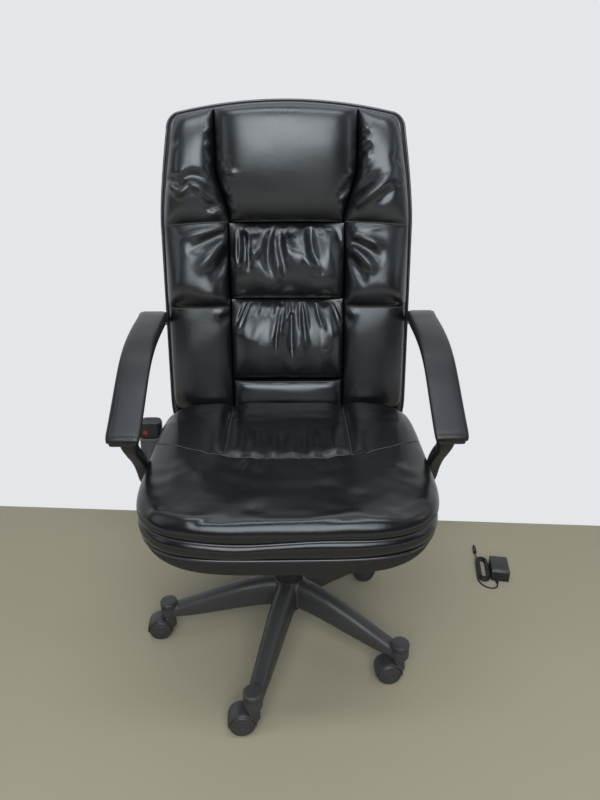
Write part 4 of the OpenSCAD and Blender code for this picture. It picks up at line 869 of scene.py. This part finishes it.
# the cushion's crown: how far it is drawn in, and its share of the crown's height
CROWN_STEPS = [(4, 0.0), (-BULGE, 0.2), (-2, 0.45), (3.5, 0.68), (14, 0.84), (32, 0.925), (56, 0.965)]
CROWN_RINGS, CROWN_MID = 56, (0.0, 10.0)
SEAT_FOLDS = [
    (-3, 7, -92, -56, -84, -10, -88, 40), (3, 9, -70, -60, -62, -14, -66, 60),
    (-3, 7, -50, -62, -44, -20, -48, 30), (3, 9, -30, -64, -28, -20, -34, 50),
    (-3, 7, -12, -64, -14, -24, -8, 30), (3, 10, 8, -64, 6, -20, 14, 60), (-3, 7, 30, -64, 34, -18, 30, 36),
    (3, 8, 48, -62, 44, -20, 50, 50), (-3, 7, 70, -60, 64, -14, 70, 40), (3, 9, 92, -58, 88, -10, 94, 50),
    (-2.5, 8, -84, -84, -96, -120), (2, 9, -50, -86, -58, -128), (-2, 8, 10, -86, 4, -122),
    (2, 9, 56, -86, 66, -124), (-2.5, 8, 84, -82, 100, -122), (3, 12, -232, 30, -200, 10, -150, 24),
    (-3, 12, -236, 0, -190, -20), (2.5, 14, -226, -60, -170, -120, -150, -170),
    (-2.5, 12, 236, 36, 190, 20, 150, 30), (3, 12, 236, 6, 200, -6), (3, 15, 226, -70, 180, -130),
    (-2.5, 16, 120, -200, 60, -170, 10, -190), (2.5, 18, -140, -190, -70, -210, 0, -200),
    (2.5, 9, -226, -238, -170, -258, -110, -262), (-2.5, 8, -60, -240, -10, -262, 40, -258),
    (2.2, 8, 60, -262, 110, -254, 150, -262), (-2.5, 9, 232, -224, 190, -250, 150, -240),
    (2.5, 7, -20, -266, 20, -270, 60, -266), (-2, 7, -150, -268, -120, -262, -90, -268),
]


def seam_line(x):
    return SEAM_Y + SEAM_BOW * (np.asarray(x) / SEAT_HALF_W) ** 2


def crown_outline(d):
    """The cushion's outline drawn in by d; its rear stays full, where it runs under the backrest."""
    x, y = seat_outline(d).T
    gain = (SEAT_HALF_D - min(d, 10.0)) / (SEAT_HALF_D - d)
    y = np.where(y > SEAT_MID_Y, (y - SEAT_MID_Y) * gain + SEAT_MID_Y, y)
    full = SEAT_HALF_W - mix(d, min(d, 12 + 0.2 * d), smooth((y - SEAT_MID_Y - 20) / 170))
    return np.column_stack([x * full / (SEAT_HALF_W - d), np.minimum(y, REAR_LIMIT)])


def crown_ring(o, h, lift=0):
    """A ring of the cushion at share h of the crown, with its seams, pads, folds and ripples."""
    x, y = o.T
    beyond = y - seam_line(x)
    behind, from_seam = smooth(beyond / 12), np.abs(x) - SEAM_X
    groove = np.maximum(bell(beyond, 6.0) * 5.5, behind * bell(from_seam, 5.5) * 4.5)
    puff = behind * 4.0 * smooth(beyond / 34) * smooth(np.abs(from_seam) / 26)
    relief = (puff - groove + stroke_field(x, y, SEAT_FOLDS) + ripple(x, y, 51, 7, 150, 1.3)
              + ripple(x, y, 57, 7, 48, 0.42))
    return at_height(o, UPPER_WELT + CROWN * h + float(smooth((h - 0.3) / 0.5)) * relief + lift)


def seat_crown():
    under = crown_outline(14)
    rings = [at_height(under, UPPER_WELT + 0.3 + edge_wave(under))]
    for d, h in line_points(CROWN_STEPS, 4):
        o = crown_outline(d)
        rings.append(crown_ring(o, h, (1 - smooth(h * 2.4)) * edge_wave(o)))
    edge, top = crown_outline(CROWN_STEPS[-1][0]), CROWN_STEPS[-1][1]
    for k in range(1, CROWN_RINGS):
        f = 1 - k / CROWN_RINGS
        h = mix(top, 1.02, float(smooth((1 - f) * 1.5)))
        rings.append(crown_ring(CROWN_MID + (edge - CROWN_MID) * f, h))
    return loft(rings)


crown = seat_crown()
make("seat_top_cushion", crown, "tilt", "black_leather", "seat_cushion", material=SEAT_LEATHER, fill=0.8)
cushion_top = BVHTree.FromPolygons(crown[0].tolist(), crown[1])


def stitches(x, y):
    """Thread along points dropped on the cushion's top."""
    hits = [cushion_top.ray_cast((*p, 600.0), (0, 0, -1))[0] for p in zip(x, y)]
    return tube([(h.x, h.y, h.z + 0.3) for h in hits if h], STITCH_R, 6)


across = np.linspace(-262, 262, 150)
seams = [stitches(across, seam_line(across))]
for x in (-SEAM_X, SEAM_X):
    start = float(seam_line(x))
    seams.append(stitches(np.full(50, x), start + 1 + np.linspace(0, 1, 50) * (SEAM_END - start)))
# the seat's stitching: real thread, whose lighter grey is also a painted highlight on the seam's ridge
make("seat_stitching_painted_highlight", join(seams), "tilt", "black_leather", material=SEAM_THREAD_HIGHLIGHT)

# ---------------- arms

# both lines are seen from the side, as (y, z); LEG_IN_AT has (z, x) of the leg's inner side
STRAP = [(306, 652), (272, 668), (236, 679), (196, 684), (150, 682), (104, 677), (58, 668), (14, 652),
         (-26, 629), (-66, 602), (-104, 577), (-128, 562), (-139, 555)]
LEG = [(-112, 566), (-108, 540), (-90, 516), (-66, 492), (-43, 463), (-25, 428), (-13, 392), (-6, 364),
       (-4, 349)]
STRAP_END, LEG_END, SECTION_N = len(STRAP) - 1, len(LEG) - 1, 28
ARM_W, ARM_T, PAD_T, ARM_IN, ARM_REAR_X = 55.0, 26.0, 12.0, 264.5, 276.3
LEG_W, LEG_X, LEG_HALF = 25.0, 276.0, 12.0
LEG_IN_AT = [(352, 240), (363.8, 251.9), (380.3, 263.1), (396.8, 269.7), (411, 273), (425, LEG_X)]
FOOT_X, FOOT_Y, FOOT_T = (150, 262), (-27.0, 21.0), 9.0
FOOT_BOLTS, FOOT_BOLT_R, STRAP_BOLTS, STRAP_BOLT_R = [(172, -16), (172, 10)], 3.3, (0.45, 1.25), 4.3
PAD_FROM, THREAD_FROM, THREAD_TO, THREAD_LANE, THREAD_R = 1.7, 2.0, STRAP_END - 0.35, 6.5, 0.55


def strap_in_x(t):
    return float(mix(ARM_REAR_X, ARM_IN, smooth((t - 1) / 2.6)))


def arm_section(line, t, low, high, x0, x1, power):
    """A rounded cross-section at place t of a line, from low to high above it."""
    (y, z), (dy, dz) = spline(line, t), heading(line, t)
    cx, cy = squared(np.arange(SECTION_N) * 2 * PI / SECTION_N, 2 / power)
    h = (low + high) / 2 + cy * (high - low) / 2
    return np.column_stack([(x0 + x1) / 2 + cx * (x1 - x0) / 2, y + h * dz, z - h * dy])


def mirrored(part, axes):
    """The part's mirror image; axes has -1 for the one that is turned round."""
    return part[0] * axes, [face[::-1] for face in part[1]]


def arm(side, label):
    def own(part):
        return part if side > 0 else mirrored(part, (-1, 1, 1))

    rings = []
    for t in np.arange(STRAP_END * 5 + 1) / 5:
        x, n = strap_in_x(t), max(0.0, (t - STRAP_END + 1.7) / 1.7) ** 2
        rings.append(arm_section(STRAP, t, -ARM_T / 2 + 5 * n, ARM_T / 2 - PAD_T - 0.15,
                                 x + 3 * n, x + ARM_W - 3 * n, 7))
    parts = [loft(rings)]
    rings = []
    for t in np.arange(LEG_END * 5 + 1) / 5:
        x = mix(ARM_IN + 3, LEG_X, smooth(t / 2)) if t < 3 else follow(LEG_IN_AT, spline(LEG, t)[1])
        w = mix(ARM_W * 0.7, LEG_W, smooth(t / 2))
        rings.append(arm_section(LEG, t, -LEG_HALF, LEG_HALF, x, x + w, 4.5))
    parts.append(loft(rings))
    (x0, x1), (y0, y1) = FOOT_X, FOOT_Y
    parts.append(loft([[(x0, y0, z), (x1, y0, z), (x1, y1, z), (x0, y1, z)]
                       for z in (SEAT_Z - FOOT_T, SEAT_Z - 0.1)]))
    bolts = [rod(FOOT_BOLT_R, -20, 20, (x, y, SEAT_Z - 5), steps=20) for x, y in FOOT_BOLTS]
    for t in STRAP_BOLTS:
        y, z = spline(STRAP, t)
        bolts.append(rod(STRAP_BOLT_R, -8, ARM_W + 8, (ARM_REAR_X, y, z - 6), "x", 20))
    obj = make("arm_frame_" + label, own(join(parts)), "tilt", "arm_plastic", "arm_" + label)
    fuse(obj, 2.0, 5, [own(bolt) for bolt in bolts])

    # soft pad with its rolled edge
    rings = []
    for k in range(int((STRAP_END - PAD_FROM) * 6) + 1):
        t = PAD_FROM + k / 6
        x = strap_in_x(t)
        rear, front = min(1.0, (t - PAD_FROM) / 0.5 + 0.02), min(1.0, (STRAP_END - t) / 1.3 + 0.02)
        q = min(math.sqrt(rear), math.sqrt(1 - (1 - front) ** 2))
        low, high = ARM_T / 2 - PAD_T + 0.15, ARM_T / 2 + 1 - (PAD_T - 3) * (1 - q)
        inset = 5 * (1 - q)
        rings.append(arm_section(STRAP, t, low, high, x - 4 + inset, x + ARM_W + 2 - inset, 3.4))
    make("arm_cushion_" + label, own(loft(rings)), "tilt", "black_leather", "arm_pad_" + label,
         material=ARM_PAD, fill=0.9)

    # sewn line round the pad's top
    h, thread = ARM_T / 2 - 0.2, []
    for lane, order in ((THREAD_LANE, 1), (ARM_W - THREAD_LANE, -1)):
        points = []
        for k in range(int((THREAD_TO - THREAD_FROM) * 6) + 1):
            t = THREAD_FROM + k / 6
            (y, z), (dy, dz) = spline(STRAP, t), heading(STRAP, t)
            points.append((strap_in_x(t) + lane, y + h * dz, z - h * dy))
        thread += points[::order]
    make("arm_seam_" + label, own(tube(thread, THREAD_R, 6, closed=True)), "tilt", "black_leather",
         material=PIPING)


arm(1, "right")
arm(-1, "left")

# ---------------- handset pocket

POUCH_X, POUCH_Y, POUCH_Z, POUCH_FRONT = (-323.8, -275.2), (86.0, 122.0), (374.0, 488.0), 448.0
POUCH_N, POUCH_FLOOR, RIB_PITCH, RIB = 240, 2, 4.0, 0.75


def pouch_ring(inset, share, rib=0.0, floor=0):
    """A ring of the sleeve drawn in by inset, at a share of its slanting height."""
    (x0, x1), (y0, y1), (z0, z1) = POUCH_X, POUCH_Y, POUCH_Z
    turns = np.arange(POUCH_N) / POUCH_N
    q = turns * 2 * PI
    px, py = squared(q, 0.45)
    x = (x0 + x1) / 2 + px * ((x1 - x0) / 2 - inset)
    y = (y0 + y1) / 2 + py * ((y1 - y0) / 2 - inset)
    long_side = (turns % 0.5 > 0.125) & (turns % 0.5 <= 0.375)
    wave = rib * np.cos(np.where(long_side, x, y) * 2 * PI / RIB_PITCH)
    x, y = x + wave * np.cos(q) * 0.9, y + wave * np.sin(q) * 0.9
    top = mix(POUCH_FRONT, z1, np.clip((y - y0) / (y1 - y0), 0, 1))
    return np.column_stack([x, y, z0 + floor + (top - z0 - floor) * share])


# a ribbed sleeve of thick cloth: out over the rim, down the outside, in and up the inside
rings = [pouch_ring(*step) for step in ((9, 0), (4, 0.004), (1.8, 0.02, 0.3), (0.9, 0.06, 0.7))]
rings += [pouch_ring(0.9, 0.06 + 0.84 * k / 10, RIB) for k in range(1, 11)]
rings += [pouch_ring(*step) for step in (
    (0.4, 0.93, 0.2), (0.2, 0.97), (0.7, 0.992), (1.6, 1.0), (2.4, 0.99), (2.6, 0.9), (2.6, 0.3),
    (2.6, 0.02, 0, POUCH_FLOOR), (8, 0.0, 0, POUCH_FLOOR))]
make("pocket_cloth", loft(rings), "tilt", "pouch_fabric", "handset_pouch")

# ---------------- base

STEM_R, FIRST_LEG, CASTER_TURN, TRAIL = 272.0, -104.9, 184.0, 22.0
HUB_R, HUB_TOP, HUB_LOW, COLUMN_BORE = 34.0, 152.0, 80.0, 25.2
BOSS_R, BOSS_TOP, BOSS_LOW, STEM_BORE = 19.0, 95.0, 59.0, 5.8
LEG_DROP = [(0, 0), (0.12, 0.03), (0.33, 0.18), (0.56, 0.44), (0.78, 0.73), (1, 1)]
LEG_FROM, LEG_OUT, LEG_ROOT, LEG_TIP, LEG_TIP_TOP = 28, STEM_R - 6, 50, 33, 83
# the leg's cross-section, as shares of its half width and of its height
LEG_SIDE = [(1, 0.1), (1, 0.3), (0.985, 0.5), (0.93, 0.7), (0.8, 0.85), (0.58, 0.945)]
LEG_ANGLES = [math.radians(FIRST_LEG + 72 * k) for k in range(5)]
STEMS = [(STEM_R * math.cos(a), STEM_R * math.sin(a), 0) for a in LEG_ANGLES]


def turned(part, angle):
    c, s = math.cos(angle), math.sin(angle)
    x, y, z = part[0].T
    return np.column_stack([c * x - s * y, s * x + c * y, z]), part[1]


def leg():
    """One leg along x, from inside the hub to its caster."""
    rings = []
    for r in np.linspace(14, LEG_OUT, 30):
        t = (r - LEG_FROM) / (LEG_OUT - LEG_FROM)
        top = mix(HUB_TOP - 2, LEG_TIP_TOP, float(follow(LEG_DROP, t)))
        low = float(mix(HUB_LOW + 8, BOSS_LOW + 1, smooth(t)))
        half = mix(LEG_ROOT, LEG_TIP, max(t, 0)) / 2
        side = [(half * w, mix(low, top, h)) for w, h in LEG_SIDE]
        side = [(half - 4, low), *side, (half * 0.3, top - 0.3)]
        ring = [(0, low), *side, (0, top), *((-y, z) for y, z in reversed(side))]
        rings.append([(r, y, z) for y, z in ring])
    return loft(rings)


hub = [(0, HUB_LOW), (HUB_R - 2, HUB_LOW), (HUB_R, HUB_LOW + 3), (HUB_R, HUB_TOP - 4),
       (HUB_R - 3, HUB_TOP - 0.5), (0, HUB_TOP - 0.5)]
boss = [(0, BOSS_LOW), (BOSS_R - 1, BOSS_LOW), (BOSS_R, BOSS_LOW + 1.5), (BOSS_R, BOSS_TOP - 3),
        (0, BOSS_TOP - 3)]
parts = [turned(leg(), a) for a in LEG_ANGLES] + [lathe(hub, steps=64)]
parts += [lathe(boss, stem, steps=40) for stem in STEMS]
holes = [rod(COLUMN_BORE, HUB_LOW - 20, HUB_TOP + 20, steps=48)]
holes += [rod(STEM_BORE, BOSS_LOW - 8, BOSS_LOW + 24.5, stem) for stem in STEMS]
fuse(make("star_base_body", join(parts), "base", "nylon_base", "star_base"), 2.2, 4, holes)

# the caster sockets at the legs' ends, a closed profile of (radius, height)
SOCKET = [(6.2, BOSS_LOW + 0.6), (6.8, BOSS_LOW), (BOSS_R - 2.4, BOSS_LOW), (BOSS_R - 1.2, BOSS_LOW + 1.4)]
SOCKET += [(BOSS_R - d, BOSS_TOP + z) for d, z in (
    (1.0, -16), (2.6, -15), (2.6, -13), (0, -12), (0, -2.2), (0.5, -0.9), (1.6, 0), (7, 0.3))]
SOCKET += [(0, BOSS_TOP + 0.5), (0, BOSS_TOP - 6), (6.2, BOSS_TOP - 8)]
make("caster_sockets", join([lathe(SOCKET, stem, steps=56, closed=True) for stem in STEMS]),
     "base", "nylon_base")

# ---------------- casters

WHEEL_R, FORK, NECK_R, WEB_R, AXLE_R, AXLE_BORE, NECK_BORE = 25.0, 3.0, 11.0, 15.5, 3.0, 3.1, 4.6
HOOD_R, HOOD_END_R, HOOD_IN, HOOD_HALF, WHEEL_GAP, SIDE_GAP = 29.0, 27.2, 25.2, 19.5, 0.8, 0.25
CASTER_TOP, AXLE, HOOD_ENDS = BOSS_LOW - 2.3, (TRAIL, 0, WHEEL_R), (math.radians(-12), math.radians(192))
# one wheel from its inner face outwards, as (radius, distance from the fork)
WHEEL = [(0, 0.5), (WHEEL_R - 1.5, 0.5), (WHEEL_R, 2), (WHEEL_R, 12.5), (WHEEL_R - 0.7, 15.2),
         (WHEEL_R - 2.6, 17.4), (WHEEL_R - 5.2, 18.5), (WHEEL_R - 6.6, 18.3), (WHEEL_R - 7.4, 17.6),
         (WHEEL_R - 8.2, 18.4), (WHEEL_R - 11, 19.4), (8, 20.6), (4, 21.0), (0, 21.1)]


def hood():
    """A caster hood: a rounded shell over both wheels, with its neck and the web between the wheels."""
    rings = []
    for phi in np.radians(np.linspace(-10, 190, 61)):
        end = min(1.0, (phi - HOOD_ENDS[0]) / 0.10, (HOOD_ENDS[1] - phi) / 0.10)
        across = np.linspace(-HOOD_HALF, HOOD_HALF, 25)
        ring = [(mix(HOOD_END_R, HOOD_R - 2.4 * abs(y / HOOD_HALF) ** 4, end ** 0.5), y) for y in across]
        ring += [(HOOD_IN, y) for y in across[::-1]]
        rings.append([(TRAIL + r * math.cos(phi), y, WHEEL_R + r * math.sin(phi)) for r, y in ring])
    neck = [(0, 27), (NECK_R + 2.5, 27), (NECK_R + 2, 38), (NECK_R + 0.5, 47), (NECK_R, CASTER_TOP - 2),
            (NECK_R - 1, CASTER_TOP), (0, CASTER_TOP)]
    web = [[(-2, y, 27), (TRAIL + 14, y, 27), (TRAIL + 16, y, 40), (TRAIL, y, 52), (-2, y, 50)]
           for y in (-FORK, FORK)]
    parts = [loft(rings), lathe(neck, steps=40), loft(web), rod(WEB_R, -FORK, FORK, AXLE, "y", 48)]
    obj = make("caster_hood_1", join(parts), "caster_1_swivel", "caster_plastic", "caster_1_hood")
    near, far = FORK + SIDE_GAP, FORK + 24
    return fuse(obj, 1.35, 3, [
        rod(AXLE_BORE, -5, 5, AXLE, "y", 20), rod(NECK_BORE, CASTER_TOP - 14, CASTER_TOP + 5),
        rod(WHEEL_R + WHEEL_GAP, -far, -near, AXLE, "y", 64),
        rod(WHEEL_R + WHEEL_GAP, near, far, AXLE, "y", 64)])


def stood(mesh, k):
    """Turns a mesh made in caster 1's own frame into its place under leg k."""
    mesh.transform(Matrix.Translation([c * MM for c in STEMS[k]])
                   @ Matrix.Rotation(math.radians(CASTER_TURN), 4, "Z"))


obj = hood()
plain = obj.data.copy()
wheel = lathe([(r, FORK + out) for r, out in WHEEL], AXLE, "y", 72)
pair = join([wheel, mirrored(wheel, (1, -1, 1)), rod(AXLE_R, -4, 4, AXLE, "y")])
for k in range(5):
    n = k + 1
    if k:
        obj = place("caster_hood_%d" % n, plain.copy())
        dress(obj, "caster_%d_swivel" % n, "caster_plastic", "caster_%d_hood" % n)
    stood(obj.data, k)
    obj = make("wheel_pair_%d" % n, pair, "caster_%d_roll" % n, "caster_tyre", "caster_%d_wheels" % n)
    stood(obj.data, k)

# ---------------- stage and lights

BACKDROP, FLOOR_COLOR, FLOOR_ROUGH = ((0.82, 0.84, 0.865, 1), 0.95), (0.41, 0.372, 0.268), 0.7
FADE_FROM, FADE_TO = 1.5, 2.6
FLOOR = [(-5000, -5000, -0.3), (5000, -5000, -0.3), (5000, 75, -0.3), (-5000, 830, -0.3)], [(0, 1, 2, 3)]



def seen_by(tree, behind=None):
    """1 for camera rays and for those off shine or through glass, the latter times behind."""
    rays = add(tree, "LightPath").outputs
    clear = add(tree, "Math", rays["Is Glossy Ray"], rays["Is Transmission Ray"], operation="MAXIMUM")
    if behind:
        clear = add(tree, "Math", clear.outputs[0], behind, operation="MULTIPLY")
    return add(tree, "Math", rays["Is Camera Ray"], clear.outputs[0], operation="MAXIMUM").outputs[0]


# a flat floor that turns into the pale backdrop away from the chair
floor = place("floor", mesh_of("floor", FLOOR))
s = Shader("floor", FLOOR_COLOR, FLOOR_ROUGH)
s.color_from(s.noise(2.2, 5), tuple(c * 0.93 for c in FLOOR_COLOR), FLOOR_COLOR)
far = s.node("VectorMath", s.coord, operation="LENGTH").outputs["Value"]
fade = s.spread(far, FADE_FROM, FADE_TO, 0, 1)
fade = s.node("Math", fade, seen_by(s.tree), operation="MULTIPLY").outputs[0]
pale = s.node("Emission", *BACKDROP).outputs[0]
mixed = s.node("MixShader", fade, s.bsdf.outputs[0], pale).outputs[0]
s.tree.links.new(mixed, s.tree.nodes["Material Output"].inputs["Surface"])
floor.data.materials.append(s.mat)

COOL, AIM_Z = (0.94, 0.98, 1.0), 0.6
# name, place, height aimed at, size and watts of each light
LIGHTS = [
    ("ceiling_front", (0.0, -2.6, 2.4), 0.8, (2.6, 2.1), 84),
    ("ceiling_strip", (0.0, -0.45, 2.7), AIM_Z, (2.2, 0.3), 15),
    ("ceiling_rear", (0.0, 0.6, 2.6), AIM_Z, (2.2, 0.6), 6),
    ("side_left", (-2.4, -0.9, 1.7), AIM_Z, (0.8, 1.6), 4),
    ("side_right", (2.4, -0.5, 1.8), AIM_Z, (0.8, 1.6), 4),
]
for name, at, aim, size, watts in LIGHTS:
    light = bpy.data.lights.new(name, "AREA")
    light.shape, light.energy, light.color = "RECTANGLE", watts, COOL
    light.size, light.size_y = size
    lamp = place(name, light)
    lamp.location = at
    lamp.rotation_euler = (Vector((0, 0, aim)) - Vector(at)).to_track_quat("-Z", "Y").to_euler()

# the room's light, with the backdrop where the camera looks past the chair and floor
world = bpy.data.worlds.new("world")
scene.world = world
world.use_nodes = True
tree = world.node_tree
direction = add(tree, "SeparateXYZ", add(tree, "TexCoord").outputs["Generated"]).outputs
height = add(tree, "MapRange", direction["Z"], -0.1, 0.9, 0.025, 0.24).outputs[0]
behind = add(tree, "MapRange", direction["Y"], -0.1, 0.5, 0.0, 0.9).outputs[0]
room = tree.nodes["Background"]
room.inputs["Color"].default_value = (0.84, 0.9, 1.0, 1)
tree.links.new(height, room.inputs["Strength"])
seen = add(tree, "Background", *BACKDROP)
mixer = add(tree, "MixShader", seen_by(tree, behind), room.outputs[0], seen.outputs[0])
tree.links.new(mixer.outputs[0], tree.nodes["World Output"].inputs[0])
